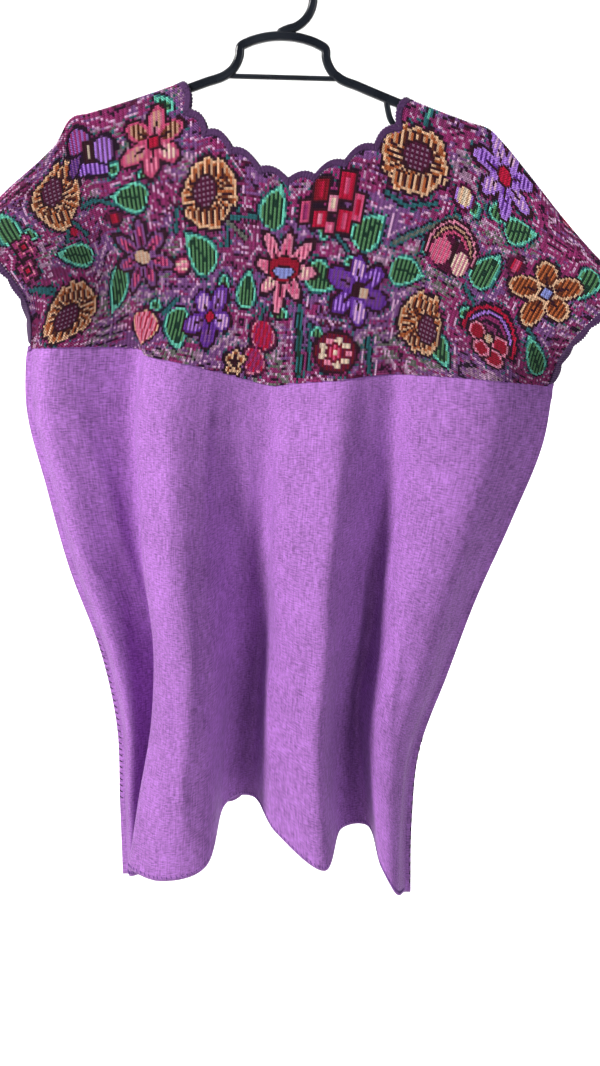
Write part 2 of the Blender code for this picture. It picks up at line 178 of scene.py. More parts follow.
def smooth(at, stations, values):
    """A curve through the values at the stations, straight past its ends."""
    slopes = np.gradient(values, stations)
    i = np.clip(np.searchsorted(stations, at) - 1, 0, len(stations) - 2)
    step = stations[i + 1] - stations[i]
    raw = (at - stations[i]) / step
    t = np.clip(raw, 0.0, 1.0)
    t2, t3 = t * t, t * t * t
    curve = (
        (2 * t3 - 3 * t2 + 1) * values[i]
        + (t3 - 2 * t2 + t) * step * slopes[i]
        + (3 * t2 - 2 * t3) * values[i + 1]
        + (t3 - t2) * step * slopes[i + 1]
    )
    past = (raw - t) * step * np.where(raw > 1, slopes[i + 1], slopes[i])
    return curve + past


def table(at, rows, index):
    return smooth(at, column(rows, 0), column(rows, index))


def mix(a, b, share):
    return a + (b - a) * share


def ease(t):
    t = np.clip(t, 0.0, 1.0)
    return t * t * (3 - 2 * t)


def unit(ways):
    return ways / np.linalg.norm(ways, axis=-1, keepdims=True)


def tilted(x, z):
    """A point of the upright hanger, turned about the hook."""
    c, s = math.cos(HANGER_TILT), math.sin(HANGER_TILT)
    return x * c + z * s, z * c - x * s


def arm_height(reach):
    out = np.abs(reach) - ARM_START
    bend = ARM_SLOPE_LOSS / (ARM_END - ARM_START) / 2
    return -ARM_START_DROP - ARM_SLOPE * out + bend * out * out


def shoulder_fold():
    """The fold line's table: the rows past the hanger's tips, and rows that ride on its arms."""
    on_arms = []
    for u in (-232, -216, -185, -150, -118, -92, 92, 118, 150, 180, 198):
        reach = NECK_CENTRE_X + 3 + u * 0.955
        over_tip = 1.8 * (abs(reach) / ARM_END) ** 8
        x, z = tilted(reach, arm_height(reach) + ABOVE_ARM + over_tip)
        on_arms.append((u, x, z))
    middle = (0, NECK_CENTRE_X, -121)
    return sorted(SHOULDER_FOLD + on_arms + [middle])


FOLD_LINE = shoulder_fold()


def lower_panel(side, u, v):
    down = (v - YOKE_DEPTH) / (CLOTH_LENGTH - YOKE_DEPTH)
    folds = FOLDS[side]
    levels = np.array([0.0, 0.5, 1.0])
    across, y = 0.0, 0.0
    for level in range(3):
        share = smooth(down, levels, np.eye(3)[level])
        first, last = folds[0][1 + 2 * level], folds[-1][1 + 2 * level]
        across = across + share * (table(u, folds, 1 + 2 * level) - first) / (last - first)
        y = y + share * table(u, folds, 2 + 2 * level)
    x = mix(table(down, SEAMS, 1), table(down, SEAMS, 2), across)
    z = mix(table(u, YOKE_LINE_HEIGHT, 1), table(u, folds, 7), down)
    return x, y, z


def upper_panel(side, u, v):
    folds = FOLDS[side]
    down = v / YOKE_DEPTH
    quarter = OVER_ARM * math.pi / 2
    turn = np.clip(v / OVER_ARM, 0.0, math.pi / 2)
    drop = OVER_ARM * (1 - np.cos(turn)) + np.maximum(v - quarter, 0.0)
    drop = drop / (OVER_ARM + YOKE_DEPTH - quarter)
    sleeve = ease((np.abs(u) - SLEEVE_START) / (HALF_WIDTH - SLEEVE_START))
    drop = mix(drop, down**1.5, 0.6 * sleeve)
    inset = np.where(u < 0, SLEEVE_INSET[-1], SLEEVE_INSET[1])
    bow = SLEEVE_BOW * np.sin(2 * math.pi * down) - inset * np.sin(math.pi * down)
    x = mix(table(u, FOLD_LINE, 1), table(u, folds, 1), drop) + np.sign(u) * sleeve * bow
    z = mix(table(u, FOLD_LINE, 2), table(u, YOKE_LINE_HEIGHT, 1), drop)
    depth = side * table(u, folds, 2)
    hanging = OVER_ARM * np.sin(turn) + (depth - OVER_ARM) * down**1.7
    neck = np.cos(np.clip(u / NECK_HALF_WIDTH, -1, 1) * math.pi / 2) ** 2
    hanging = hanging + NECK_STAND_OFF * neck * np.sin(math.pi * down)
    rounded = np.sin(math.pi * np.clip(down, 0, 1) ** SLEEVE_ROUNDING)
    open_sleeve = depth * down**2 + SLEEVE_BULGE * rounded
    return x, side * mix(hanging, open_sleeve, sleeve), z


def hung(side, u, v):
    """The cloth's middle at flat-cloth places u, v, in millimetres, as an array of points."""
    u, v = np.broadcast_arrays(np.asarray(u, float), np.asarray(v, float))
    upper = upper_panel(side, u, np.clip(v, 0.0, YOKE_DEPTH))
    lower = lower_panel(side, u, np.maximum(v, YOKE_DEPTH))
    points = [np.where(v < YOKE_DEPTH, a, b) for a, b in zip(upper, lower)]
    return np.stack(points, axis=-1)


def outward(side, u, v, reach=2.0):
    """The cloth's unit normal there, away from the body."""
    above, below = np.maximum(v - reach, 0.0), v + reach
    across = hung(side, u + reach, v) - hung(side, u - reach, v)
    down = hung(side, u, below) - hung(side, u, above)
    return unit(side * np.cross(across, down))


# The cross-stitch grid
STITCH = 2.45
COLUMNS = 147
ROWS = 112
SIDE_DEPTH_LOSS = 55.0
DEPTH_LOSS_START = 150.0
NECK_SAG = 19.0
MIDDLE_DEPTH_GAIN = 9.0
SAG_HALF_WIDTH = 105.0


def middle_bump(cloth_u):
    """One at the centre line, falling to nothing at the shoulders: where the cloth sags most."""
    return np.cos(np.clip(cloth_u / SAG_HALF_WIDTH, -1, 1) * math.pi / 2) ** 2


def stitched_depth(cloth_u):
    """How far down the stitching reaches at each distance from the centre line."""
    out = (np.abs(cloth_u) - DEPTH_LOSS_START) / (HALF_WIDTH - DEPTH_LOSS_START)
    return YOKE_DEPTH + MIDDLE_DEPTH_GAIN * middle_bump(cloth_u) - SIDE_DEPTH_LOSS * ease(out)


def cloth_table(side):
    """Widths of cloth from the centre line out to u, row by row, drawn out to the full half."""
    u = np.linspace(-HALF_WIDTH, HALF_WIDTH, 361)
    v = np.linspace(0.0, YOKE_DEPTH, 45)
    points = hung(side, u[None, :], v[:, None])
    steps = np.linalg.norm(np.diff(points, axis=1), axis=2)
    run = np.concatenate([np.zeros((len(v), 1)), np.cumsum(steps, axis=1)], axis=1)
    run -= run[:, 180:181]
    edge = np.where(u[None, :] < 0, -run[:, :1], run[:, -1:])
    return u, v, run * HALF_WIDTH / edge


def to_folds(side, cloth_u, cloth_v):
    """The u, v of hung() at a place of the stitched cloth, given in real widths and depths."""
    u, v, run = cloth_table(side)
    sag = NECK_SAG * middle_bump(cloth_u)
    deep = (cloth_v - sag) * YOKE_DEPTH / (stitched_depth(cloth_u) - sag)
    across = cloth_u.ravel()
    by_row = np.array([np.interp(across, run[k], u) for k in range(len(v))])
    at = np.clip(deep.ravel() / v[1], 0, len(v) - 1.001)
    low = at.astype(int)
    part = at - low
    pick = np.arange(len(across))
    found = by_row[low, pick] * (1 - part) + by_row[low + 1, pick] * part
    return found.reshape(cloth_u.shape), deep


# The stitch chart: one shade for each cross-stitch, columns from the centre line, rows down
SHADES = {
    # name: red, green, blue as seen on a screen, 0 to 255
    "plum": (146, 54, 112),
    "magenta": (168, 52, 120),
    "violet": (142, 88, 156),
    "heather": (236, 190, 228),
    "wine": (92, 14, 60),
    "dusk": (38, 8, 42),
    "mauve": (180, 140, 172),
    "moss": (120, 126, 116),
    "teal": (46, 118, 124),
    "mint": (124, 236, 206),
    "fern": (94, 150, 98),
    "pine": (24, 64, 48),
    "peach": (255, 208, 166),
    "orange": (198, 106, 58),
    "brown": (122, 58, 34),
    "maroon": (58, 14, 34),
    "crimson": (208, 16, 66),
    "red": (152, 14, 42),
    "pink": (252, 154, 186),
    "rose": (230, 90, 138),
    "cream": (255, 234, 206),
    "tan": (216, 168, 138),
    "periwinkle": (158, 170, 242),
    "purple": (116, 56, 176),
    "iris": (192, 138, 246),
}
NAMES = list(SHADES)
BARE = -1
GRID_C, GRID_R = np.meshgrid(
    np.arange(-COLUMNS, COLUMNS) + 0.5, np.arange(ROWS + 4) + 0.5, indexing="ij"
)
EVEN_COLUMN = np.floor(GRID_C) % 2 == 0
EVEN_ROW = np.floor(GRID_R) % 2 == 0


def shade(name):
    return NAMES.index(name)


def screen_to_linear(colour):
    value = np.array(colour, float) / 255
    return np.where(value > 0.04045, ((value + 0.055) / 1.055) ** 2.4, value / 12.92)


def turned(c0, r0, turn):
    """Each stitch's place from a motif's middle, turned so that +y is the motif's foot."""
    angle = math.radians(turn)
    x, y = GRID_C - c0, GRID_R - r0
    return x * math.cos(angle) + y * math.sin(angle), y * math.cos(angle) - x * math.sin(angle)


def scatter(number):
    """A repeatable chance value from 0 to 1 for each whole number."""
    return np.modf(np.abs(np.sin(number * 12.9898 + 4.1) * 43758.5453))[0]


def leaf(chart, c0, r0, length, width, turn=0):
    """A drop: round at its foot, drawn out to its tip, with a mint rim and an upright hatch."""
    x, y = turned(c0, r0, turn)
    run = 0.5 - y / length
    inside = (run > 0) & (run < 1.06)
    run = np.clip(run, 0, 1)
    half = width / 2 * run**0.5 * (1 - run) / 0.385
    chart[(run > 0) & (run < 1) & (np.abs(x) < half + 1.0)] = shade("teal")
    chart[inside & (np.abs(x) < half + 0.3)] = shade("mint")
    core = inside & (np.abs(x) < half - 0.8) & (y < length / 2 - 0.9) & (run < 0.84)
    chart[core] = shade("pine")
    chart[core & EVEN_COLUMN] = shade("fern")
    chart[core & (np.abs(x) < 0.5) & (run > 0.2)] = shade("pine")


def sunflower(chart, c0, r0, wide, high, disc_c=0, disc_r=0, turn=0):
    """Narrow outlined petals, upright above and below and fanned at the sides, round a checked disc."""
    x, y = turned(c0, r0, turn)
    rho = np.hypot(x / wide, y / high)
    fan = np.arctan2(y / high, x / wide) * 22 / (2 * math.pi)
    upright = np.abs(y / high) > 0.38
    at = np.where(upright, (x + 60) / 3.0, fan + 40)
    petal, part = np.floor(at), at - np.floor(at)
    end = 0.84 + 0.2 * scatter(petal + c0 + np.where(y > 0, 50, 0))
    chart[rho < end + 0.06] = shade("maroon")
    ring = rho < end
    chart[ring] = shade("peach")
    chart[ring & (part > 0.30) & (rho < end - 0.08)] = shade("orange")
    chart[ring & (part > 0.30) & (rho < end - 0.2) & (petal % 2 == 0)] = shade("brown")
    chart[ring & (part > 0.66) & (rho < 0.8)] = shade("maroon")
    x, y = turned(c0 + disc_c, r0 + disc_r, turn)
    disc = np.hypot(x / wide, y / high)
    chart[disc < 0.46] = shade("maroon")
    chart[disc < 0.39] = shade("mauve")
    chart[(disc < 0.39) & (EVEN_COLUMN | EVEN_ROW)] = shade("wine")


def bloom(chart, c0, r0, reach, petals, turn, colours, rim, heart, heart_size, plump=0.24):
    """Separate narrow petals round a heart; colours are pairs of a body and its hatch."""
    x, y = turned(c0, r0, turn)
    rho = np.hypot(x, y)
    step = 2 * math.pi / petals
    at = np.arctan2(x, -y) / step
    petal = np.round(at)
    off = (at - petal) * step
    size = 0.88 + 0.2 * scatter(petal % petals + r0)
    along, across = rho * np.cos(off) / size, rho * np.sin(off)
    half = plump * reach
    depth = (1 - np.hypot((along - 0.6 * reach) / (0.43 * reach), across / half)) * half
    chart[depth > -0.85] = shade("maroon")
    chart[depth > -0.15] = shade(rim)
    for number, (body, hatch) in enumerate(colours):
        here = (petal % petals % len(colours) == number) & (depth > 0.75)
        chart[here] = shade(body)
        chart[here & EVEN_COLUMN & (along > 0.42 * reach)] = shade(hatch)
        chart[here & (np.abs(across) < 0.5) & (along < 0.62 * reach)] = shade("maroon")
    chart[rho < heart_size + 1.1] = shade("maroon")
    chart[rho < heart_size] = shade(heart)


def bud(chart, c0, r0, length, width, turn, body, stripe, rim):
    """A closed bud: a pointed oval in stripes with a rim and a dark outline."""
    x, y = turned(c0, r0, turn)
    run = y / length + 0.5
    half = width / 2 * np.sin(math.pi * np.clip(run, 0, 1) ** 0.8) ** 0.8
    inside = (run > 0) & (run < 1) & (np.abs(x) < half)
    chart[(run > -0.16) & (run < 1.12) & (np.abs(x) < half + 1.6)] = shade("wine")
    chart[(run > -0.04) & (run < 1.04) & (np.abs(x) < half + 0.5)] = shade(rim)
    chart[inside & (np.abs(x) < half - 0.5)] = shade(body)
    chart[inside & (np.floor(x + 100.5) % 3 == 0)] = shade(stripe)


def box(chart, c0, r0, wide, high, name, turn=0):
    x, y = turned(c0, r0, turn)
    chart[(np.abs(x) < wide) & (np.abs(y) < high)] = shade(name)


def oval(chart, c0, r0, wide, high, name, hatch=None, turn=0):
    x, y = turned(c0, r0, turn)
    inside = np.hypot(x / wide, y / high) < 1
    chart[inside] = shade(name)
    if hatch:
        chart[inside & EVEN_COLUMN] = shade(hatch)


def stem(chart, start, end, name="teal", thick=0.75):
    """A straight stem between two places."""
    a, b = np.array(start, float), np.array(end, float)
    way = b - a
    run = np.clip(((GRID_C - a[0]) * way[0] + (GRID_R - a[1]) * way[1]) / (way @ way), 0, 1)
    away = np.hypot(GRID_C - a[0] - run * way[0], GRID_R - a[1] - run * way[1])
    chart[away < thick] = shade(name)


def crescent(chart, c0, r0, reach, thick, turn, name, rim):
    """A band bent over a flower, like a raised petal seen from its side."""
    x, y = turned(c0, r0, turn)
    away = np.abs(np.hypot(x, y) - reach)
    chart[(y < 0.3 * reach) & (away < thick + 1.0)] = shade(rim)
    chart[(y < 0.25 * reach) & (away < thick)] = shade(name)


def noise(rng, cells_across, cells_down):
    """Smooth random heights over the grid, from 0 to 1."""
    coarse = rng.random((cells_across + 1, cells_down + 1))
    x = (GRID_C + COLUMNS) / (2 * COLUMNS) * cells_across * 0.999
    y = GRID_R / (ROWS + 4) * cells_down * 0.999
    i, j = x.astype(int), y.astype(int)
    s, t = ease(x - i), ease(y - j)
    top = coarse[i, j] * (1 - s) + coarse[i + 1, j] * s
    low = coarse[i, j + 1] * (1 - s) + coarse[i + 1, j + 1] * s
    return top * (1 - t) + low * t


def stitches_away(mask, limit=8):
    """How many stitches each place lies from the nearest motif, up to a limit."""
    away = np.full(mask.shape, limit)
    grown = mask
    for step in range(limit):
        away[grown & (away == limit)] = step
        wider = grown.copy()
        wider[1:] |= grown[:-1]
        wider[:-1] |= grown[1:]
        if step % 2:
            grown = wider.copy()
        wider[:, 1:] |= grown[:, :-1]
        wider[:, :-1] |= grown[:, 1:]
        grown = wider
    return away


def on_ground(motifs, seed):
    """Fills what the motifs leave bare: a mixed plum ground in lines that echo round them."""
    rng = np.random.default_rng(seed)
    away = stitches_away(motifs != BARE)
    wander = GRID_R * 0.75 + 22 * noise(rng, 9, 5) + 5 * noise(rng, 30, 14)
    line = np.floor(np.where(away < 5, away + 1, wander)) % 4
    hue, drift, streak = noise(rng, 18, 10), noise(rng, 12, 7), noise(rng, 50, 96)
    speck = rng.random(GRID_C.shape)
    chart = np.full(GRID_C.shape, shade("plum"))
    chart[hue > 0.60] = shade("magenta")
    chart[hue < 0.36] = shade("violet")
    chart[(drift > 0.60) & (speck < 0.75)] = shade("mauve")
    chart[(drift > 0.68) & (speck < 0.45)] = shade("moss")
    chart[(drift < 0.30) & (speck < 0.5)] = shade("wine")
    chart[(streak > 0.66) & (speck < 0.7)] = shade("magenta")
    chart[(streak < 0.30) & (speck < 0.6)] = shade("violet")
    chart[(line == 2) & (speck < 0.66)] = shade("dusk")
    chart[(line == 0) & (speck > 0.42)] = shade("heather")
    chart[(away == 2) & (speck > 0.8)] = shade("teal")
    return np.where(motifs == BARE, chart, motifs)


# The front's motifs, in stitches from the centre line and down from the shoulder fold
STEMS = [
    # column and row of each end, shade, half thickness
    (-99, 36, -80, 43, "teal", 0.9),
    (-107, 38, -112, 48, "teal", 0.8),
    (-107, 38, -101, 48, "teal", 0.8),
    (-54, 50, -55, 58, "teal", 0.9),
    (-27, 55, -15, 54, "teal", 0.8),
    (-29, 57, -30, 65, "teal", 0.8),
    (-29, 57, -20, 62, "moss", 0.8),
    (-141, 61, -128, 66, "teal", 1.0),
    (-137, 64, -126, 69, "teal", 0.7),
    (42, 38, 51, 41, "teal", 0.9),
    (51, 41, 63, 37, "teal", 0.9),
    (49, 57, 74, 39, "teal", 1.5),
    (50, 56, 73, 40, "moss", 0.8),
    (11, 86, 14, 112, "teal", 1.4),
    (11, 88, 14, 112, "pine", 0.6),
    (17, 92, 19, 110, "teal", 0.7),
    (47, 96, 49, 110, "teal", 1.0),
    (54, 1, 53, 8, "teal", 1.0),
    (54, 2, 53, 6, "mint", 0.5),
    (23, 58, 31, 64, "teal", 0.7),
    (62, 60, 68, 70, "moss", 0.7),
    (88, 62, 97, 68, "teal", 0.7),
    (-62, 92, -56, 86, "teal", 0.8),
    (-8, 88, -10, 94, "teal", 0.8),
    (120, 64, 130, 68, "teal", 0.7),
]
SUNFLOWERS = [
    # column, row, half width, half height, disc's shift across and down, turn
    (-110, 27, 12, 16, -1.5, -3.5, 12),
    (-38, 46, 13.5, 13.5, -2, -1.5, 5),
    (-118, 79, 13.5, 14, -2.5, 2, 10),
    (51, 23, 14.5, 14, 1, -2, -8),
    (73, 87, 12.5, 14.5, 4, 1.5, -14),
]
LEAVES = [
    # column, row, length, width, turn
    (-75, 41, 17, 12, -75),
    (-6, 49, 17, 12, 18),
    (-136, 31, 18, 10, 0),
    (-111, 55, 20, 10, -72),
    (-44, 67, 20, 13, -42),
    (-91, 78, 20, 11, -155),
    (-53, 98, 18, 12, 160),
    (-18, 81, 14, 10, 8),
    (38, 54, 17, 12, 35),
    (102, 29, 15, 11, 62),
    (95, 52, 18, 12, 18),
    (59, 67, 16, 12, 95),
    (20, 75, 16, 11, 110),
    (136, 34, 18, 9, 180),
    (133, 76, 20, 11, -40),
    (85, 95, 16, 10, 150),
    (-57, 7, 10, 4, -48),
    (-81, 27, 6, 5, -60),
    (-67, 32, 5, 5, 0),
    (-128, 39, 6, 5, 0),
    (-67, 88, 5, 6, 20),
    (-31, 79, 7, 5, 0),
    (1, 88, 5, 8, 0),
    (18, 58, 6, 5, 180),
    (80, 32, 6, 5, 30),
    (90, 27, 8, 7, 0),
    (65, 55, 6, 5, -30),
    (32, 67, 4, 5, 0),
    (95, 73, 7, 6, 30),
    (21, 95, 5, 5, 0),
]
BUDS = [
    # column, row, length, width, turn, body, stripe, rim
    (-54, 72, 8, 5, 80, "pink", "cream", "rose"),
    (-73, 99, 17, 18, 10, "pink", "crimson", "peach"),
    (-7, 98, 12, 13, 20, "crimson", "magenta", "pink"),
    (-10, 108, 10, 11, 30, "magenta", "crimson", "pink"),
    (74, 31, 8, 8, 0, "cream", "peach", "iris"),
    (106, 44, 7, 6, 0, "rose", "crimson", "wine"),
    (124, 4, 8, 7, 30, "rose", "crimson", "pink"),
    (-84, 48, 5, 6, 0, "crimson", "red", "wine"),
]


def front_chart():
    chart = np.full(GRID_C.shape, BARE)
    for c0, r0, c1, r1, name, thick in STEMS:
        stem(chart, (c0, r0), (c1, r1), name, thick)
    for row in LEAVES:
        leaf(chart, *row)
    for row in SUNFLOWERS:
        sunflower(chart, *row)
    for row in BUDS:
        bud(chart, *row)
    viola(chart, -91, 17)
    pinks = [("pink", "tan"), ("brown", "tan"), ("pink", "cream"), ("rose", "pink")]
    bloom(chart, -62, 21, 14, 6, 10, pinks, "rose", "crimson", 2.2, 0.25)
    bloom(chart, -74, 67, 15, 7, 4, [("magenta", "rose")], "violet", "maroon", 3.0, 0.17)
    oval(chart, -74, 67, 4.2, 2.8, "cream", "tan", 20)
    star_rose(chart, 1, 72)
    violets = [("violet", "iris"), ("iris", "heather"), ("purple", "violet")]
    bloom(chart, -37, 92, 12.5, 5, 32, violets, "purple", "crimson", 1.8, 0.30)
    crimson_flower(chart, 20, 47)
    irises = [("iris", "heather"), ("purple", "iris"), ("violet", "purple")]
    bloom(chart, 38, 77, 14, 6, -12, irises, "purple", "maroon", 2.2, 0.26)
    oval(chart, 41, 78, 2.4, 2.2, "cream", "tan")
    bloom(chart, 90, 12, 15, 7, 12, irises[:2], "iris", "crimson", 3.0, 0.20)
    bloom(chart, 124, 48, 15.5, 5, -30, [("brown", "orange")], "peach", "periwinkle", 2.2, 0.30)
    rosebud(chart, 76, 51)
    striped_bud(chart, 108, 77)
    patched_rose(chart, 31, 102)
    for c, r in ((-134, 43), (-138, 53)):
        bloom(chart, c, r, 5.5, 4, 45, [("rose", "pink")], "magenta", "crimson", 1.2, 0.34)
    bloom(chart, -20, 109, 5.5, 5, 0, [("orange", "brown")], "peach", "maroon", 0.8, 0.28)
    oval(chart, -107, 45, 1.6, 1.6, "crimson")
    return on_ground(chart, 3)


def viola(chart, c0, r0):
    """Four striped petals round an upright cream eye."""
    petals = [
        # across, down, half width, half height, turn, body, hatch
        (1, 8, 7.5, 2.8, 14, "purple", "iris"),
        (-7, 2, 3.2, 4.6, 30, "purple", "violet"),
        (-4, -5, 5.6, 4.6, 24, "iris", "magenta"),
        (7, 1, 4.4, 5.6, -16, "violet", "iris"),
    ]
    for c, r, wide, high, turn, body, hatch in petals:
        oval(chart, c0 + c, r0 + r, wide + 1.1, high + 1.1, "dusk", None, turn)
        oval(chart, c0 + c, r0 + r, wide, high, body, hatch, turn)
    box(chart, c0 + 0.5, r0 + 1, 2.3, 4.6, "maroon")
    box(chart, c0 + 0.5, r0 + 1, 0.9, 3.4, "cream")


def star_rose(chart, c0, r0):
    """Eight narrow pointed petals round a crimson ring and a pale oval eye."""
    petals = [("pink", "rose"), ("rose", "pink"), ("pink", "cream")]
    bloom(chart, c0, r0, 14.5, 8, 6, petals, "pink", "crimson", 4.0, 0.17)
    oval(chart, c0, r0 - 0.5, 8.2, 5.2, "maroon")
    oval(chart, c0, r0 - 0.5, 7.4, 4.5, "crimson", "red")
    oval(chart, c0, r0 + 0.8, 5.6, 2.6, "maroon")
    oval(chart, c0, r0 + 0.8, 4.8, 1.9, "periwinkle")


def crimson_flower(chart, c0, r0):
    """Stepped upright blocks in crimson, dark red and pink, each with a dark outline."""
    blocks = [
        # across, down, half width, half height, body, streak
        (-12, 3, 2.2, 4.0, "rose", "magenta"),
        (-6, -5, 3.2, 4.4, "red", "crimson"),
        (5, -7, 3.0, 4.6, "crimson", "rose"),
        (11, 0, 2.4, 4.6, "rose", "crimson"),
        (-5, 6, 3.4, 3.4, "crimson", "pink"),
        (6, 6, 3.4, 3.8, "crimson", "rose"),
        (0, 9, 2.0, 2.4, "rose", "pink"),
        (0, 0, 2.2, 3.0, "pink", "cream"),
    ]
    for c, r, wide, high, body, streak in blocks:
        box(chart, c0 + c, r0 + r, wide + 1.1, high + 1.1, "maroon")
    for c, r, wide, high, body, streak in blocks:
        box(chart, c0 + c, r0 + r, wide, high, body)
        box(chart, c0 + c, r0 + r, 0.6, high - 1.2, streak)


def rosebud(chart, c0, r0):
    """A half-open bud: two pale lobes under striped arcs."""
    for reach, name in ((11.5, "pink"), (9.4, "tan"), (7.4, "rose")):
        crescent(chart, c0, r0 + 2, reach, 0.6, -8, name, "maroon")
    oval(chart, c0, r0 + 4, 11, 7, "wine")
    oval(chart, c0 - 5, r0 + 4, 4.8, 5.6, "pink", "rose")
    oval(chart, c0 + 6, r0 + 5, 4.2, 5.2, "pink", "cream")
    box(chart, c0 + 0.8, r0 + 2, 0.9, 5.0, "maroon")


def striped_bud(chart, c0, r0):
    """A crimson flower with a cream middle under purple and red arcs."""
    for reach, name in ((13.0, "crimson"), (10.6, "iris"), (8.2, "magenta")):
        crescent(chart, c0, r0 + 1, reach, 0.7, 8, name, "dusk")
    lobes = [(-6, 1, 4.4, 4.0), (6, 3, 4.2, 4.4), (3, 10, 4.6, 4.2), (-3, 8, 4.0, 3.6)]
    for c, r, wide, high in lobes:
        oval(chart, c0 + c, r0 + r, wide + 1.0, high + 1.0, "maroon")
        oval(chart, c0 + c, r0 + r, wide, high, "pink")
        oval(chart, c0 + c, r0 + r, wide - 1, high - 1, "crimson", "red")
    oval(chart, c0, r0 + 2, 2.6, 3.4, "maroon")
    oval(chart, c0, r0 + 2, 1.7, 2.6, "cream", "tan")


def patched_rose(chart, c0, r0):
    """A round dark red rose with pale patches scattered round its heart."""
    oval(chart, c0, r0, 11, 8.4, "maroon")
    oval(chart, c0, r0, 10, 7.5, "red", "wine")
    for number in range(9):
        angle = number * 2 * math.pi / 9
        c, r = 6.6 * math.cos(angle), 4.8 * math.sin(angle)
        oval(chart, c0 + c, r0 + r, 1.9, 1.3, "cream" if number % 3 else "pink")
    oval(chart, c0, r0, 3.4, 2.6, "crimson", "rose")
    oval(chart, c0, r0, 1.2, 1.0, "cream")


def back_chart():
    """The hidden back: the same flowers, scattered by rule over the whole cloth."""
    chart = np.full(GRID_C.shape, BARE)
    leaf_turns = (0, 70, -60, 150, -130, 25)
    for number, c in enumerate(range(-132, 140, 24)):
        for step, r in enumerate((14, 40, 66, 92)):
            spot, shift = (number + 2 * step) % 6, 6 if step % 2 else -5
            if abs(c) < 50 and r < 34:
                continue
            if r > 85 and abs(c) > 110:
                continue
            place = (c + shift, r + (number % 3) * 3)
            stem(chart, (place[0] + 12, place[1] - 3), (place[0] + 12, place[1] + 6))
            if spot == 0:
                sunflower(chart, *place, 11, 12, 1, -1, shift)
            elif spot == 1:
                bloom(chart, *place, 11, 6, 0, [("magenta", "rose")], "pink", "cream", 2.4, 0.22)
            elif spot == 3:
                bloom(chart, *place, 11, 5, 0, [("iris", "purple")], "violet", "crimson", 2.2)
            elif spot == 4:
                star_rose(chart, *place)
            else:
                leaf(chart, *place, 16, 11, leaf_turns[(number + step) % 6])
            leaf(chart, place[0] + 12, place[1] + 10, 6, 5, 0)
    return on_ground(chart, 8)


# Meshes
def mesh_object(name, points, faces, materials=(), faces_material=None, smooth_faces=True):
    """An object from points in millimetres, with its faces' materials by number."""
    mesh = bpy.data.meshes.new(name)
    mesh.from_pydata((np.asarray(points).reshape(-1, 3) * MM).tolist(), [], faces)
    for finish in materials:
        mesh.materials.append(finish)
    if faces_material is not None:
        mesh.polygons.foreach_set("material_index", faces_material)
    if smooth_faces:
        mesh.shade_smooth()
    mesh.update()
    made = bpy.data.objects.new(name, mesh)
    bpy.context.scene.collection.objects.link(made)
    return made


def grid_faces(rows, columns, flip=False, closed_rows=False, closed_columns=False):
    i = np.arange(rows if closed_rows else rows - 1)[:, None]
    j = np.arange(columns if closed_columns else columns - 1)[None, :]
    below, right = (i + 1) % rows, (j + 1) % columns
    quads = [i * columns + j, i * columns + right, below * columns + right, below * columns + j]
    quads = np.stack([np.broadcast_to(q, (len(i), j.shape[1])) for q in quads], axis=-1)
    quads = quads.reshape(-1, 4)
    return (quads[:, ::-1] if flip else quads).tolist()


def shell(name, middle, normals, outer, inner, side, materials, inner_material=0):
    """A closed thin wall of cloth round its middle's grid."""
    rows, columns = middle.shape[:2]
    count = rows * columns
    points = np.concatenate([(middle + normals * outer), (middle - normals * inner)])
    skin = grid_faces(rows, columns, flip=side == FRONT)
    lining = [[count + k for k in face[::-1]] for face in skin]
    border = list(range(columns))
    border += [i * columns + columns - 1 for i in range(1, rows)]
    border += [(rows - 1) * columns + j for j in range(columns - 2, -1, -1)]
    border += [i * columns for i in range(rows - 2, 0, -1)]
    rim = []
    for a, b in zip(border, border[1:] + border[:1]):
        face = [b, a, count + a, count + b]
        rim.append(face[::-1] if side == FRONT else face)
    kinds = [0] * len(skin) + [inner_material] * len(lining) + [0] * len(rim)
    return mesh_object(name, points, skin + lining + rim, materials, kinds)


def put_uv(obj, u, v, name="cloth"):
    """Lays a map in millimetres over a mesh, from each point's place on the cloth."""
    layer = obj.data.uv_layers.new(name=name)
    index = np.empty(len(obj.data.loops), int)
    obj.data.loops.foreach_get("vertex_index", index)
    values = np.stack([np.ravel(u)[index], np.ravel(v)[index]], axis=-1)
    layer.data.foreach_set("uv", values.ravel())


def parted(points, side, u, seam_gap):
    """Keeps the front's and the back's edges apart where they meet at the side seam."""
    near = np.clip(1 - (HALF_WIDTH - np.abs(u)) / 12.0, 0, 1)
    points[..., 1] += side * seam_gap * near
    return points


def neck_edge(steps):
    """The scalloped cut in flat-cloth places: points, with the way out of the cloth there."""
    turn = np.linspace(-math.pi / 2, math.pi / 2, 4001)
    power = 2 / NECK_SQUARENESS
    oval_u = NECK_HALF_WIDTH * np.sign(turn) * np.abs(np.sin(turn)) ** power
    oval_v = NECK_DEPTH * np.abs(np.cos(turn)) ** power
    lengths = np.hypot(np.diff(oval_u), np.diff(oval_v))
    run = np.concatenate([[0.0], np.cumsum(lengths)])
    share = np.linspace(0, NECK_SCALLOPS, NECK_SCALLOPS * steps + 1)
    place = share / NECK_SCALLOPS * run[-1]
    base = np.stack([np.interp(place, run, oval_u), np.interp(place, run, oval_v)], axis=-1)
    base[[0, -1], 1] = 0.0
    size = np.array([NECK_HALF_WIDTH, NECK_DEPTH])
    inward = -np.sign(base) * np.abs(base / size) ** (NECK_SQUARENESS - 1) / size
    inward = unit(inward)
    height = SCALLOP_HEIGHT * np.abs(np.sin(math.pi * share)) ** 0.9
    edge = base + inward * height[:, None]
    edge[:, 0] += NECK_SHIFT
    return edge, inward, share


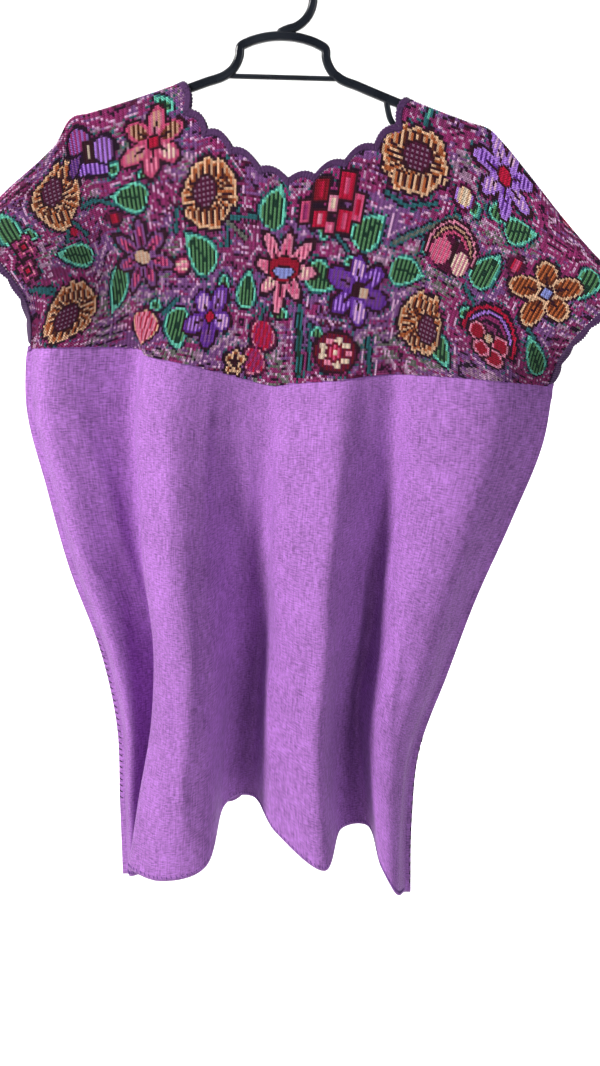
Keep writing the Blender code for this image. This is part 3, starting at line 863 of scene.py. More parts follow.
def outside_neck(u, v):
    """True for places of cloth, and false inside the neck hole."""
    edge, _, _ = neck_edge(12)
    angle = np.arctan2(edge[:, 1], edge[:, 0] - NECK_SHIFT)
    reach = np.hypot(edge[:, 1], edge[:, 0] - NECK_SHIFT)
    order = np.argsort(angle)
    at = np.arctan2(np.maximum(v, 0), u - NECK_SHIFT)
    return np.hypot(np.maximum(v, 0), u - NECK_SHIFT) > np.interp(at, angle[order], reach[order])


# How high the stitches' corners and middles stand, and how their threads' brightness varies: alternate
# columns and rows get a painted highlight and painted shade for the light on the raised threads, and each
# stitch gets a random tone
STITCH_FOOT = 0.75
STITCH_TOP = 1.65
STITCH_SEED = 21
COLUMN_PAINTED_SHADING = (0.78, 1.22)
ROW_PAINTED_SHADING = (0.94, 1.06)
CHANCE_LIGHT = (0.9, 0.2)


def stitch_places(side, columns, rows, height):
    """Points above the yoke at places of the stitch grid, and which of them are on the cloth."""
    u, v = to_folds(side, columns * STITCH, rows * STITCH)
    keep = (v > 0) & (v < YOKE_DEPTH) & outside_neck(u, v)
    u, v = np.clip(u, -HALF_WIDTH, HALF_WIDTH), np.clip(v, 0.0, YOKE_DEPTH)
    points = hung(side, u, v) + outward(side, u, v) * height
    return parted(points, side, u, PIECE_GAP), keep


def stitches(name, side, chart, finish):
    """One raised quad of four facets for each cross-stitch, in its chart's colour."""
    columns, rows = GRID_C.shape
    ends = np.meshgrid(np.arange(-COLUMNS, COLUMNS + 1), np.arange(rows + 1), indexing="ij")
    points, _ = stitch_places(side, *ends, STITCH_FOOT)
    tops, keep = stitch_places(side, GRID_C, GRID_R, STITCH_TOP)
    i, j = np.nonzero(keep)
    wide = rows + 1
    corners = [i * wide + j, (i + 1) * wide + j, (i + 1) * wide + j + 1, i * wide + j + 1]
    middle = (columns + 1) * wide + i * rows + j
    faces = []
    for a, b in zip(corners, corners[1:] + corners[:1]):
        faces.append(np.stack([b, a, middle] if side == FRONT else [a, b, middle], axis=-1))
    faces = np.stack(faces, axis=1).reshape(-1, 3)
    used, faces = np.unique(faces, return_inverse=True)
    all_points = np.concatenate([points.reshape(-1, 3), tops.reshape(-1, 3)])
    made = mesh_object(name, all_points[used], faces.reshape(-1, 3).tolist(), [finish], None, False)
    rng = np.random.default_rng(STITCH_SEED + side)
    colours = np.array([screen_to_linear(SHADES[key]) for key in NAMES])[chart[i, j]]
    # Painted highlight and shade: alternate columns and rows made lighter and darker, standing in for
    # light on the raised threads; chance is each stitch's random tone
    hatch = np.array(COLUMN_PAINTED_SHADING)[i % 2] * np.array(ROW_PAINTED_SHADING)[j % 2]
    chance = CHANCE_LIGHT[0] + CHANCE_LIGHT[1] * rng.random((len(i), 1))
    colours = colours * chance * hatch[:, None]
    paint = np.ones((len(i), 12, 4))
    paint[:, :, :3] = colours[:, None, :]
    layer = made.data.color_attributes.new("thread", "FLOAT_COLOR", "CORNER")
    layer.data.foreach_set("color", paint.ravel())
    square = np.array([(0, 0), (1, 0), (1, 1), (0, 1)], float)
    spots = []
    for k in range(4):
        a, b = square[k], square[(k + 1) % 4]
        spots += [b, a, (0.5, 0.5)] if side == FRONT else [a, b, (0.5, 0.5)]
    uv = made.data.uv_layers.new(name="stitch")
    uv.data.foreach_set("uv", np.tile(np.array(spots), (len(i), 1)).ravel())
    return made


GROUND_OUTER_HALF = 0.45
GROUND_INNER_HALF = 0.6


def yoke_ground(name, side, materials):
    """The ground cloth under the stitches: a thin shell from the neck's cut to the yoke line."""
    edge, _, _ = neck_edge(14)
    shoulder, fan = 70, 216.0
    left = np.linspace(-HALF_WIDTH, edge[0, 0], shoulder, endpoint=False)
    right = np.linspace(HALF_WIDTH, edge[-1, 0], shoulder, endpoint=False)
    foot = np.linspace(HALF_WIDTH, fan, shoulder, endpoint=False)
    top_u = np.concatenate([left, edge[:, 0], right[::-1]])
    top_v = np.concatenate([0 * left, edge[:, 1], 0 * left])
    foot_u = np.concatenate([-foot, np.linspace(-fan, fan, len(edge)), foot[::-1]])
    share = np.concatenate([np.linspace(0, 0.05, 8, endpoint=False), np.linspace(0.05, 1, 62)])
    share = share[:, None]
    u = mix(top_u, foot_u, 1 - (1 - share) ** 2)
    v = mix(np.maximum(top_v, 0.2), YOKE_DEPTH + 0.5, share)
    v = np.minimum(v, YOKE_DEPTH)
    middle = parted(hung(side, u, v), side, u, PIECE_GAP)
    walls = (GROUND_OUTER_HALF, GROUND_INNER_HALF)
    made = shell(name, middle, outward(side, u, v), *walls, side, materials, 1)
    put_uv(made, np.tile(u.ravel(), 2), np.tile(v.ravel(), 2))
    return made


# The lower panels
LOWER_HALF_WALL = 0.6
LOWER_TUCK = 9.0
SEAM_ALLOWANCE = 6.0
ALLOWANCE_TOP_DROP = 4.0
CREASE_FADE = 20.0

# Their soft creases, each a shallow ridge or trough along a line of the cloth
LOWER_CREASES = {
    FRONT: [
        # u and v of each end, half width, height
        (-300, 300, -262, 560, 9, 2.2),
        (-286, 520, -296, 800, 8, -2.0),
        (-228, 340, -240, 700, 7, 1.8),
        (-170, 330, -150, 640, 10, -2.0),
        (-130, 420, -140, 800, 8, 2.0),
        (-84, 290, -92, 520, 9, -1.8),
        (-36, 330, -30, 760, 9, 2.0),
        (18, 300, 8, 560, 8, -1.6),
        (70, 380, 64, 780, 9, 2.0),
        (118, 320, 128, 640, 10, -2.0),
        (176, 340, 182, 800, 8, 2.2),
        (232, 300, 214, 620, 9, -2.0),
        (282, 420, 262, 780, 10, 2.2),
        (322, 300, 338, 560, 9, -1.8),
        (336, 560, 318, 800, 8, 1.8),
        (-172, 560, -140, 700, 6, -2.6),
        (-150, 640, -128, 780, 6, 2.4),
        (-118, 590, -84, 740, 7, -2.6),
        (24, 600, 44, 760, 6, 2.4),
        (84, 560, 70, 700, 6, -2.4),
        (262, 520, 286, 660, 6, 2.6),
        (244, 640, 268, 780, 6, -2.4),
        (-340, 420, -300, 520, 6, 2.2),
    ],
    BACK: [
        (-290, 320, -270, 620, 9, 2.0),
        (-205, 340, -214, 760, 9, -2.0),
        (-130, 300, -120, 600, 9, 2.0),
        (-52, 340, -44, 780, 8, -2.0),
        (20, 300, 30, 640, 10, 2.2),
        (100, 380, 92, 800, 9, -1.8),
        (172, 300, 180, 620, 9, 2.0),
        (256, 340, 240, 780, 10, -2.0),
        (320, 420, 330, 760, 8, 1.8),
    ],
}


def crease_height(side, u, v):
    total = 0.0
    for u0, v0, u1, v1, half, height in LOWER_CREASES[side]:
        run = (v - v0) / (v1 - v0)
        away = (u - mix(u0, u1, run)) / half
        fade = np.sin(math.pi * np.clip(run, 0, 1)) ** 0.7
        total = total + height * fade * np.exp(-away * away)
    ripple = np.sin(u / 11.0 + 2.2 * np.sin(v / 160.0)) * np.sin(v / 95.0 + u / 60.0)
    total = total + 0.45 * ripple * ease((v - YOKE_DEPTH) / 80.0)
    return total * ease((HALF_WIDTH - np.abs(u)) / CREASE_FADE)


def lower_cloth(name, side, materials):
    """A lower panel with its seam allowances, tucked a little under the yoke's stitches."""
    u = np.linspace(-HALF_WIDTH, HALF_WIDTH, 251)[None, :]
    tuck = np.linspace(YOKE_DEPTH - LOWER_TUCK, YOKE_DEPTH, 3, endpoint=False)
    v = np.concatenate([tuck, np.linspace(YOKE_DEPTH, CLOTH_LENGTH, 118)])[:, None]
    u, v = np.broadcast_arrays(u, v)
    normals = outward(side, u, v)
    middle = parted(hung(side, u, v), side, u, LOWER_HALF_WALL + PIECE_GAP / 2)
    under = 1.35 * ease((YOKE_DEPTH + 3 - v) / 5.0)
    middle = middle + normals * (crease_height(side, u, v) - under)[..., None]
    flat = np.zeros_like(normals[:, 0])
    flat[:, 1] = side
    parts_u, strips = [], []
    for edge, way in ((0, -1), (-1, 1)):
        strip = middle[:, edge].copy()
        strip[:, 0] += way * SEAM_ALLOWANCE
        strip[:6, 2] -= ALLOWANCE_TOP_DROP
        strips.append(strip)
        parts_u.append(u[:, edge] + way * SEAM_ALLOWANCE)
        normals[:, edge] = unit(normals[:, edge] + flat)
    middle = np.concatenate([strips[0][:, None], middle, strips[1][:, None]], axis=1)
    normals = np.concatenate([flat[:, None], normals, flat[:, None]], axis=1)
    all_u = np.concatenate([parts_u[0][:, None], u, parts_u[1][:, None]], axis=1)
    all_v = np.concatenate([v[:, :1], v, v[:, :1]], axis=1)
    made = shell(name, middle, normals, LOWER_HALF_WALL, LOWER_HALF_WALL, side, materials)
    put_uv(made, np.tile(all_u.ravel(), 2), np.tile(all_v.ravel(), 2))
    return made


# The crocheted edging
EDGING_SECTION = [
    # distance out from the cloth's edge as a share of the width, and off its middle
    (0.00, -0.8),
    (0.30, -0.9),
    (0.62, -0.9),
    (0.84, -1.25),
    (1.00, -0.6),
    (1.04, 0.3),
    (1.00, 1.3),
    (0.84, 2.1),
    (0.62, 1.5),
    (0.30, 1.6),
    (0.00, 1.5),
]
LOOP_PITCH = 3.1


def neck_crochet(name, finish):
    """A closed scalloped band round the neck, ribbed across by its loops."""
    edge, inward, share = neck_edge(40)
    along = unit(np.gradient(edge, axis=0))
    way = np.stack([along[:, 1], -along[:, 0]], axis=-1)
    way = way * np.sign(np.sum(way * inward, axis=1, keepdims=True))
    blend = (0.5 - np.abs(share % 1.0 - 0.5)) / 0.12
    way = unit(mix(inward, way, ease(blend)[:, None]))
    halves = []
    for side in (FRONT, BACK):
        normal = outward(side, edge[:, 0], edge[:, 1])
        top = unit(outward(FRONT, edge[:, 0], 0.0) + outward(BACK, edge[:, 0], 0.0))
        normal = unit(mix(normal, top, ease(1 - edge[:, 1] / 9.0)[:, None]))
        rings = []
        for across, off in EDGING_SECTION:
            place = edge + way * (0.2 + across * EDGING_WIDTH)
            rings.append(hung(side, place[:, 0], np.maximum(place[:, 1], 0.0)) + normal * off)
        halves.append(np.stack(rings, axis=1))
    return ribbed_band(name, halves, finish)


def ribbed_band(name, halves, finish):
    """A closed band from its front and back rings, with the loops' ribs raised along it."""
    points = np.concatenate([halves[0], halves[1][-2:0:-1]])
    core = points.mean(axis=1, keepdims=True)
    lengths = np.linalg.norm(np.roll(core[:, 0], -1, axis=0) - core[:, 0], axis=1)
    run = np.concatenate([[0.0], np.cumsum(lengths)[:-1]])
    turns = round(lengths.sum() / LOOP_PITCH)
    phase = run / lengths.sum() * turns * 2 * math.pi
    slant = np.linspace(0, 2.2, points.shape[1])[None, :]
    swell = 1 + 0.20 * np.sin(phase[:, None] + slant)
    points = core + (points - core) * swell[..., None]
    faces = grid_faces(len(points), points.shape[1], False, True, True)
    return outward_faces(mesh_object(name, points, faces, [finish]))


def outward_faces(obj):
    bm = bmesh.new()
    bm.from_mesh(obj.data)
    bmesh.ops.recalc_face_normals(bm, faces=bm.faces)
    bm.to_mesh(obj.data)
    bm.free()
    return obj


def armhole_frame(side, hand, v):
    """The cloth edge's middle at an armhole, and its unit ways across and outward."""
    u = hand * HALF_WIDTH
    middle = hung(side, u, v)
    low = ease(v / YOKE_DEPTH) * (1.6 + PIECE_GAP / 2)
    middle[:, 1] += side * low
    normal = outward(side, u + 0 * v, v)
    across = hung(side, u, v) - hung(side, u - hand * 2.0, v)
    down = hung(side, u, v + 1.0) - hung(side, u, np.maximum(v - 1.0, 0.0))
    down = unit(down)
    across -= down * np.sum(across * down, axis=1, keepdims=True)
    return middle, unit(across), normal


def armhole_crochet(name, hand, finish):
    count = ARMHOLE_SCALLOPS * 48
    share = np.linspace(0, 1, count + 1)
    v = share * (YOKE_DEPTH - 4.0)
    halves = []
    frames = {side: armhole_frame(side, hand, v) for side in (FRONT, BACK)}
    for side in (FRONT, BACK):
        middle, across, normal = [part.copy() for part in frames[side]]
        other = frames[-side]
        top, foot = ease(1 - v / 8.0)[:, None] / 2, ease((v - v[-1] + 8.0) / 8.0)[:, None] / 2
        ends = np.maximum(top, foot)
        middle = mix(middle, other[0], np.where(ends > 0.499, ends, 0))
        across = mix(across, other[1], ends)
        normal = mix(normal, other[2], top)
        normal = mix(normal, np.array([0.0, 0.0, -0.7]), foot * 2)
        across = unit(across)
        scallop = np.abs(np.sin(math.pi * share * ARMHOLE_SCALLOPS)) ** 0.9
        width = EDGING_WIDTH - 1.0 + ARMHOLE_SCALLOP_HEIGHT * scallop
        rings = []
        for out, off in EDGING_SECTION:
            rings.append(middle + across * (0.3 + out * width)[:, None] + normal * off)
        halves.append(np.stack(rings, axis=1))
    return ribbed_band(name, halves, finish)


# The hanger
SWEEP_STEP = 1.5


def tube_faces(rings, sides):
    """The faces of a tube with both its ends closed."""
    ends = [list(range(sides))[::-1], [(rings - 1) * sides + k for k in range(sides)]]
    return grid_faces(rings, sides, False, False, True) + ends


def sweep(name, path, tube_across, tube_deep, finish, sides=20, groove=0.0):
    """A rounded bar along a path in the hanger's plane, with a shallow groove down its face."""
    path = np.array(path, float)
    lengths = np.concatenate([[0.0], np.cumsum(np.linalg.norm(np.diff(path, axis=0), axis=1))])
    count = max(int(lengths[-1] / SWEEP_STEP), 8)
    at = np.linspace(0, lengths[-1], count)
    knots = np.stack([smooth(at, lengths, path[:, k]) for k in range(2)], axis=-1)
    along = np.gradient(knots, axis=0)
    along = unit(along)
    up = np.stack([-along[:, 1], along[:, 0]], axis=-1)
    angle = np.linspace(0, 2 * math.pi, sides, endpoint=False)
    c, s = np.cos(angle), np.sin(angle)
    across = np.sign(c) * np.abs(c) ** 0.75 * tube_across
    deep = np.sign(s) * np.abs(s) ** 0.75 * (tube_deep - groove * np.exp(-((c / 0.35) ** 2)))
    end_gap = np.minimum(at, at[-1] - at)
    taper = np.sqrt(1 - np.clip(1 - end_gap / tube_across, 0, 0.96) ** 2)
    flat = knots[:, None, :] + up[:, None, :] * (across[None, :] * taper[:, None])[..., None]
    x, z = tilted(flat[..., 0], flat[..., 1])
    points = np.stack([x, deep[None, :] * taper[:, None], z], axis=-1)
    return outward_faces(mesh_object(name, points, tube_faces(count, sides), [finish]))


def hanger_frame_path():
    half = []
    for reach in np.linspace(ARM_END, ARM_START, 9):
        half.append((-reach, arm_height(reach)))
    half += [(-49.5, -91.0), (-45.0, -84.5), (-42.5, -77.5), (-41.5, -69.5)]
    half += [(-34.0, -65.0), (-22.0, -61.0), (-11.0, -59.0)]
    return half + [(0.0, -58.4)] + [(-x, z) for x, z in reversed(half)]


def hook_path():
    turn = np.radians(np.linspace(-80, 170, 21))
    centre = -(HOOK_RADIUS - HOOK_TUBE)
    ring = zip(HOOK_RADIUS * np.cos(turn), centre + HOOK_RADIUS * np.sin(turn))
    return [(-6.0, -57.0)] + [(float(x), float(z)) for x, z in ring]


def strap_hook_path(hand):
    return [(hand * x, z) for x, z in ((103, -114), (105, -124), (108.5, -134), (114, -140), (121, -142))]


def hanger(finish):
    pieces = [
        sweep("hanger_frame", hanger_frame_path(), ARM_TUBE, 4.4, finish, groove=1.1),
        sweep("hanger_hook", hook_path(), HOOK_TUBE, 4.2, finish, groove=0.9),
        sweep("hanger_bar", [(-55.0, -96.6), (0.0, -96.6), (55.0, -96.6)], 2.5, 2.3, finish, 14),
    ]
    for hand, word in ((-1, "left"), (1, "right")):
        path = strap_hook_path(hand)
        pieces.append(sweep("hanger_strap_hook_" + word, path, 3.0, 2.8, finish, 14, 0.5))
    return pieces


# Sewing: short threads laid on the cloth
THREAD_SIDES = 6
THREAD_RINGS = [
    # share of the length, size and rise as shares of the radius and the width
    (0.0, 0.35, -0.2),
    (0.12, 0.9, 0.25),
    (0.5, 1.0, 0.45),
    (0.88, 0.9, 0.25),
    (1.0, 0.35, -0.2),
]
HEM_PITCH = 4.6
HEM_REACH = 354


def thread_stitches(name, runs, radius, finish):
    """Small rounded threads, each from one point to another, in one mesh."""
    points, faces = [], []
    tube = tube_faces(len(THREAD_RINGS), THREAD_SIDES)
    ring = np.linspace(0, 2 * math.pi, THREAD_SIDES, endpoint=False)
    for start, end, lift in runs:
        faces += [[len(points) + k for k in face] for face in tube]
        side_way = unit(np.cross(end - start, lift))
        for share, size, rise in THREAD_RINGS:
            middle = mix(start, end, share) + lift * rise * radius * 2
            for turn in ring:
                spot = side_way * math.cos(turn) + lift * math.sin(turn)
                points.append(middle + spot * radius * size)
    return outward_faces(mesh_object(name, points, faces, [finish]))


def on_lower(side, u, v, lift):
    """A point on a lower panel's outer face, with its normal."""
    u, v = np.array([float(u)]), np.array([float(v)])
    normal = outward(side, u, v)
    point = parted(hung(side, u, v), side, u, LOWER_HALF_WALL + PIECE_GAP / 2)
    rise = crease_height(side, u, v) + LOWER_HALF_WALL + lift
    return (point + normal * rise[..., None])[0], normal[0]


def hem_sewing(finish):
    """Small close stitches along the hem, front and back."""
    runs = []
    for side in (FRONT, BACK):
        for u in np.arange(-HEM_REACH, HEM_REACH, HEM_PITCH):
            start, normal = on_lower(side, u, CLOTH_LENGTH - 5.5, 0.1)
            end, _ = on_lower(side, u + 1.6, CLOTH_LENGTH - 2.0, 0.1)
            runs.append((start, end, normal))
    return thread_stitches("hem_sewing", runs, 0.36, finish)


def seam_sewing(name, hand, start_v, end_v, pitch, first, last, drop, finish):
    """Dark stitches down a side seam's allowance, from first to last out past the seam."""
    runs = []
    for side in (FRONT, BACK):
        lift = np.array([0.0, side, 0.0])
        for v in np.arange(start_v, end_v, pitch):
            seam, _ = on_lower(side, hand * (HALF_WIDTH - 0.2), v, 0.15)
            start = seam + (hand * first, 0.0, -drop)
            end = seam + (hand * last, 0.0, 0.0)
            runs.append((start, end, lift))
    return thread_stitches(name, runs, 0.55, finish)


# Materials
SHEEN_ROUGHNESS = 0.4
# Where a mix node keeps its share and its two colours, and where the mixed colour comes out
MIX_SOCKETS = (0, 6, 7)
MIX_OUTPUT = 2


class Finish:
    """A material in the making, with its node tree and shader. Colours are linear."""

    def __init__(self, name, colour, roughness, specular, sheen=0.0):
        self.made = bpy.data.materials.new(name)
        self.made.use_nodes = True
        self.tree = self.made.node_tree
        self.shader = self.tree.nodes["Principled BSDF"]
        self.join((*colour, 1.0), self.shader, "Base Color")
        self.join(roughness, self.shader, "Roughness")
        self.join(specular, self.shader, "Specular IOR Level")
        self.join(sheen, self.shader, "Sheen Weight")
        self.join(SHEEN_ROUGHNESS, self.shader, "Sheen Roughness")

    def join(self, value, node, socket):
        """Links another node's output to a socket, or sets the socket to a plain value."""
        if isinstance(value, bpy.types.NodeSocket):
            self.tree.links.new(value, node.inputs[socket])
        else:
            node.inputs[socket].default_value = value

    def node(self, kind, **inputs):
        made = self.tree.nodes.new(kind)
        for name, value in inputs.items():
            self.join(value, made, name.replace("_", " "))
        return made

    def uv(self, name):
        made = self.node("ShaderNodeUVMap")
        made.uv_map = name
        return made.outputs["UV"]

    def axes(self, name):
        split = self.node("ShaderNodeSeparateXYZ", Vector=self.uv(name))
        return split.outputs["X"], split.outputs["Y"]

    def maths(self, operation, a, b=0.0):
        made = self.node("ShaderNodeMath")
        made.operation = operation
        self.join(a, made, 0)
        self.join(b, made, 1)
        return made.outputs[0]

    def noise(self, scale, detail, roughness=0.5, vector=None):
        """Noise over the piece itself, or over the places given."""
        vector = vector or self.node("ShaderNodeTexCoord").outputs["Object"]
        inputs = {"Scale": scale, "Detail": detail, "Roughness": roughness}
        return self.node("ShaderNodeTexNoise", Vector=vector, **inputs).outputs["Fac"]

    def ramp(self, share, *stops):
        """Colours along a share, from pairs of a position and a colour."""
        made = self.node("ShaderNodeValToRGB", Fac=share)
        marks = made.color_ramp.elements
        marks[0].position = stops[0][0]
        marks[1].position = stops[-1][0]
        for position, _ in stops[1:-1]:
            marks.new(position)
        for mark, (_, colour) in zip(marks, stops):
            mark.color = (*colour, 1.0)
        return made.outputs["Color"]

    def mixed(self, kind, *values):
        """Two colours mixed by a share, given as share, colour, colour."""
        made = self.node("ShaderNodeMix")
        made.data_type = "RGBA"
        made.blend_type = kind
        for value, socket in zip(values, MIX_SOCKETS):
            self.join(value, made, socket)
        return made.outputs[MIX_OUTPUT]

    def bump(self, height, strength, distance):
        made = self.node("ShaderNodeBump", Strength=strength, Distance=distance, Height=height)
        self.join(made.outputs["Normal"], self.shader, "Normal")

    def done(self, colour):
        self.join(colour, self.shader, "Base Color")
        return self.made


def stitch_material():
    """Cotton cross-stitch: two crossed twisted threads a cell over a hole at each corner; the near-black
    between the threads is painted shade.
    """
    cotton = Finish("cross_stitch", (0.2, 0.05, 0.13), 0.76, 0.2, 0.05)
    x, y = cotton.axes("stitch")
    both = cotton.maths("ADD", x, y)
    rising = cotton.maths("ABSOLUTE", cotton.maths("SUBTRACT", x, y))
    falling = cotton.maths("ABSOLUTE", cotton.maths("SUBTRACT", both, 1.0))
    near = cotton.maths("MINIMUM", rising, cotton.maths("ADD", falling, 0.06))
    # Painted shade: the colour falls from white on the threads to near black in the gaps and holes
    # between them; the same ramp gives the threads' bump
    threads = cotton.ramp(near, (0.09, (1, 1, 1)), (0.38, (0.05, 0.025, 0.05)))
    cotton.bump(threads, 0.7, 0.0008)
    twist = cotton.maths("SINE", cotton.maths("MULTIPLY", both, 26.0))
    twist = cotton.maths("MULTIPLY", cotton.maths("ADD", twist, 1.0), 0.12)
    dyed = cotton.node("ShaderNodeVertexColor")
    dyed.layer_name = "thread"
    shaded = cotton.mixed("MULTIPLY", 1.0, dyed.outputs["Color"], threads)
    return cotton.done(cotton.mixed("SOFT_LIGHT", twist, shaded, (0.9, 0.85, 0.9, 1.0)))


def stretched_noise(cotton, across, down, turn=0.0, detail=2.0):
    """Noise drawn out along the cloth, from the cloth's own map in millimetres."""
    stretch = cotton.node(
        "ShaderNodeMapping", Vector=cotton.uv("cloth"),
        Scale=(1 / across, 1 / down, 1.0), Rotation=(0.0, 0.0, math.radians(turn)),
    )
    return cotton.noise(1.0, detail, 0.6, stretch.outputs["Vector"])


def cloth_material():
    """Plain lilac cotton: woven threads of uneven thickness, and a soft bloom."""
    base = screen_to_linear((160, 106, 183))
    cotton = Finish("lilac_cotton", base, 0.82, 0.22, 0.12)
    weft = stretched_noise(cotton, 7.0, 1.5)
    warp = stretched_noise(cotton, 1.4, 16.0)
    slope = stretched_noise(cotton, 5.0, 1.2, 32.0)
    cloud = stretched_noise(cotton, 40.0, 60.0, 0.0, 3.0)
    threads = cotton.maths("ADD", cotton.maths("ADD", weft, warp), slope)
    cotton.bump(threads, 0.55, 0.0007)
    fine, soft = cotton.maths("MULTIPLY", threads, 0.29), cotton.maths("MULTIPLY", cloud, 0.13)
    shades = (0.40, 0.52 * base), (0.60, np.minimum(1.42 * base, 1))
    return cotton.done(cotton.ramp(cotton.maths("ADD", fine, soft), *shades))


def stitch_back_material():
    """The inside of the yoke: the stitches' backs, short upright bars in mixed shades."""
    backs = Finish("stitch_backs", screen_to_linear((96, 54, 92)), 0.85, 0.25, 0.1)
    waves = [
        backs.maths("SINE", backs.maths("MULTIPLY", way, math.pi / STITCH))
        for way in backs.axes("cloth")
    ]
    height = backs.maths("MULTIPLY", *waves)
    backs.bump(height, 0.5, 0.0006)
    stops = [
        # position, colour on a screen
        (0.30, (54, 70, 66)),
        (0.42, (88, 44, 84)),
        (0.52, (120, 62, 118)),
        (0.62, (150, 58, 84)),
        (0.75, (188, 130, 110)),
    ]
    stops = [(position, screen_to_linear(colour)) for position, colour in stops]
    blot = backs.ramp(backs.noise(0.045, 4.0, 0.65, backs.uv("cloth")), *stops)
    share = backs.maths("MULTIPLY", backs.maths("ADD", height, 1.0), 0.3)
    return backs.done(backs.mixed("MIX", share, blot, (*screen_to_linear((40, 20, 44)), 1.0)))


def yarn_material():
    """Dark purple crochet cotton with a lighter fuzz on its loops."""
    base = screen_to_linear((56, 26, 70))
    yarn = Finish("crochet_yarn", base, 0.8, 0.25, 0.35)
    fleck = yarn.noise(900.0, 3.0, 0.7)
    yarn.bump(fleck, 0.5, 0.0005)
    return yarn.done(yarn.ramp(fleck, (0.35, 0.55 * base), (0.7, screen_to_linear((92, 54, 106)))))


def thread_material(name, colour):
    base = screen_to_linear(colour)
    thread = Finish(name, base, 0.75, 0.3, 0.2)
    fleck = thread.noise(1400.0, 2.0)
    thread.bump(fleck, 0.4, 0.0003)
    return thread.done(thread.ramp(fleck, (0.0, 0.6 * base), (1.0, np.minimum(1.5 * base, 1))))


def plastic_material():
    """Moulded black plastic, half gloss, faintly mottled in shade and gloss."""
    base = screen_to_linear((14, 16, 24))
    plastic = Finish("moulded_plastic", base, 0.26, 0.55)
    cloud = plastic.noise(28.0, 2.0)
    gloss = {"From_Min": 0.3, "From_Max": 0.7, "To_Min": 0.2, "To_Max": 0.36}
    rough = plastic.node("ShaderNodeMapRange", Value=cloud, **gloss)
    plastic.join(rough.outputs["Result"], plastic.shader, "Roughness")
    plastic.bump(plastic.noise(420.0, 3.0), 0.12, 0.0002)
    return plastic.done(plastic.ramp(cloud, (0.0, 0.7 * base), (1.0, screen_to_linear((26, 32, 42)))))


def paper_material():
    paper = Finish("pale_paper", (0.82, 0.82, 0.82), 0.9, 0.2)
    return paper.done(paper.ramp(paper.noise(6.0, 3.0), (0.0, [0.80] * 3), (1.0, [0.84] * 3)))


# The blouse
def dress():
    stitch, cloth = stitch_material(), cloth_material()
    backs, yarn, plastic = stitch_back_material(), yarn_material(), plastic_material()
    dark_thread = thread_material("dark_thread", (34, 12, 30))
    violet_thread = thread_material("violet_thread", (96, 52, 132))
    charts = {FRONT: front_chart(), BACK: back_chart()}
    for side, word in ((FRONT, "front"), (BACK, "back")):
        grounds = yoke_ground(word + "_yoke_ground", side, [cloth, backs])
        sewn = stitches(word + "_yoke_stitches", side, charts[side], stitch)
        panel = lower_cloth(word + "_lower_cloth", side, [cloth])
        for piece, name in ((grounds, "cloth"), (sewn, "embroidery"), (panel, "cloth")):
            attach(piece, "root")
        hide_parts(word + "_yoke")
        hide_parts(word + "_lower")
    edgings = [neck_crochet("neck_crochet", yarn)]
    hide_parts("neck_edging")
    for hand, word in ((-1, "left"), (1, "right")):
        band = armhole_crochet(word + "_armhole_crochet", hand, yarn)
        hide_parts(word + "_armhole_edging")
        edgings.append(band)
    for piece in edgings:
        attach(piece, "root")
    sewing = [
        hem_sewing(violet_thread),
        seam_sewing("left_seam_sewing", -1, 560.0, 730.0, 6.5, 1.5, 5.4, 3.0, dark_thread),
        seam_sewing("right_seam_sewing", 1, 640.0, 806.0, 10.0, 4.2, 4.8, 5.5, dark_thread),
    ]
    for piece in sewing:
        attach(piece, "root")
    for piece in hanger(plastic):
        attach(piece, "root")
        if piece.name == "hanger_frame":
            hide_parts("hanger_middle", "hanger_left_arm", "hanger_right_arm")


# The stage
FLOOR_DROP = 380.0
FLOOR_FRONT = -1400.0
COVE_START = 1700.0
COVE_RADIUS = 1500.0
WALL_TOP = 1000.0
PAPER_HALF_WIDTH = 2400.0


def stage():
    """A pale floor that curves up into a low backdrop, well behind the blouse."""
    low = min(cad_box[0][2], cad_box[1][2]) / MM - FLOOR_DROP
    profile = [(FLOOR_FRONT, low)]
    for turn in np.linspace(0, math.pi / 2, 65):
        y = COVE_START + COVE_RADIUS * math.sin(turn)
        profile.append((y, low + COVE_RADIUS * (1 - math.cos(turn))))
    profile.append((COVE_START + COVE_RADIUS, WALL_TOP))
    points = [(x, y, z) for x in (-PAPER_HALF_WIDTH, PAPER_HALF_WIDTH) for y, z in profile]
    floor = mesh_object("floor", points, grid_faces(2, len(profile)), [paper_material()])


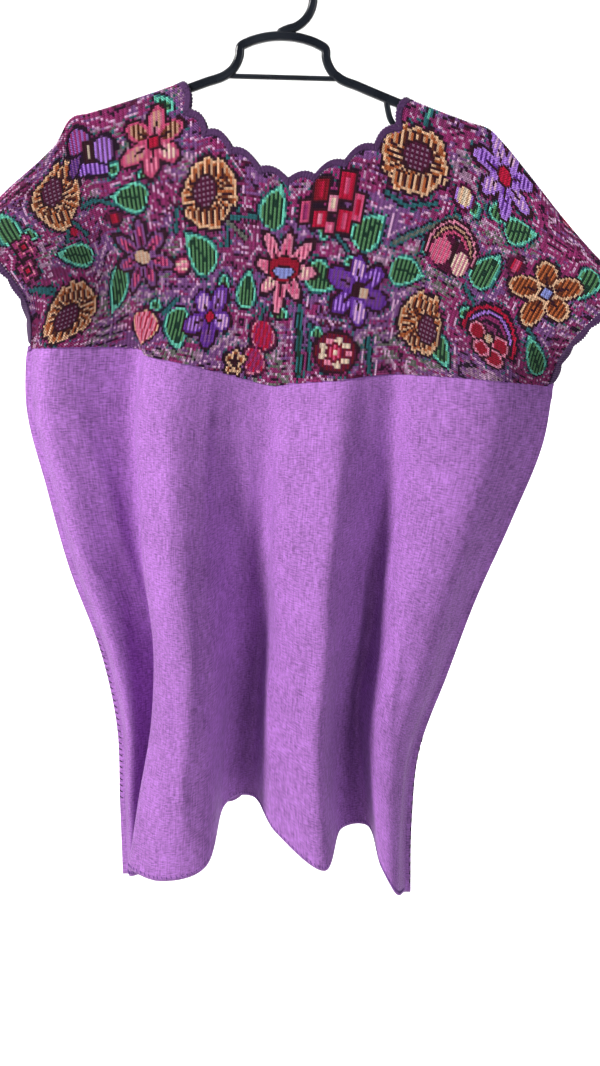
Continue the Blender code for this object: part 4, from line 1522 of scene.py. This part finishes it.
def area_light(name, place, target, size, power, colour=(1.0, 1.0, 1.0), spread=180.0):
    data = bpy.data.lights.new(name, "AREA")
    data.shape = "RECTANGLE"
    data.size, data.size_y = size
    data.energy = power
    data.spread = math.radians(spread)
    data.color = colour
    made = bpy.data.objects.new(name, data)
    bpy.context.scene.collection.objects.link(made)
    made.location = place
    made.rotation_euler = (Vector(target) - Vector(place)).to_track_quat("-Z", "Y").to_euler()


def lights():
    middle = (0.0, 0.0, -0.35)
    area_light("key", (-1.85, -1.5, 0.75), middle, (0.5, 0.6), 97.0, (1.0, 0.98, 0.96))
    area_light("fill", (2.0, -2.2, 0.1), middle, (1.0, 1.0), 23.0, (0.94, 0.95, 1.0))
    area_light("top", (-0.4, -0.9, 1.6), middle, (1.4, 1.0), 4.0)
    for hand in (-1, 1):
        place = (1.75 * hand, 1.9, -0.2)
        area_light("paper_light", place, (1.0 * hand, 3.4, -0.3), (0.8, 1.8), 44.0)
    area_light("floor_light", (0.0, 1.9, 1.5), (0.0, 1.6, -1.3), (2.4, 1.4), 46.0, spread=84.0)
    world = bpy.data.worlds.new("pale_room")
    world.use_nodes = True
    world.node_tree.nodes["Background"].inputs["Color"].default_value = (0.95, 0.96, 1.0, 1.0)
    world.node_tree.nodes["Background"].inputs["Strength"].default_value = 0.09
    bpy.context.scene.world = world


# The picture is 600 x 1066, seen from a little above and 1.19 m away
PICTURE_HEIGHT = 1066.0
FOCAL_IN_PIXELS = 1143.0
SENSOR = 36.0


def camera():
    data = bpy.data.cameras.new("camera")
    data.sensor_fit = "VERTICAL"
    data.sensor_height = SENSOR
    data.lens = SENSOR * FOCAL_IN_PIXELS / PICTURE_HEIGHT
    data.clip_end = 50.0
    made = bpy.data.objects.new("camera", data)
    bpy.context.scene.collection.objects.link(made)
    made.location = (0.0148, -1.19, -0.322)
    made.rotation_euler = (math.radians(79.0), 0.0, 0.0)
    bpy.context.scene.camera = made


camera()
stage()
lights()
dress()
bpy.context.scene.view_settings.view_transform = "Standard"
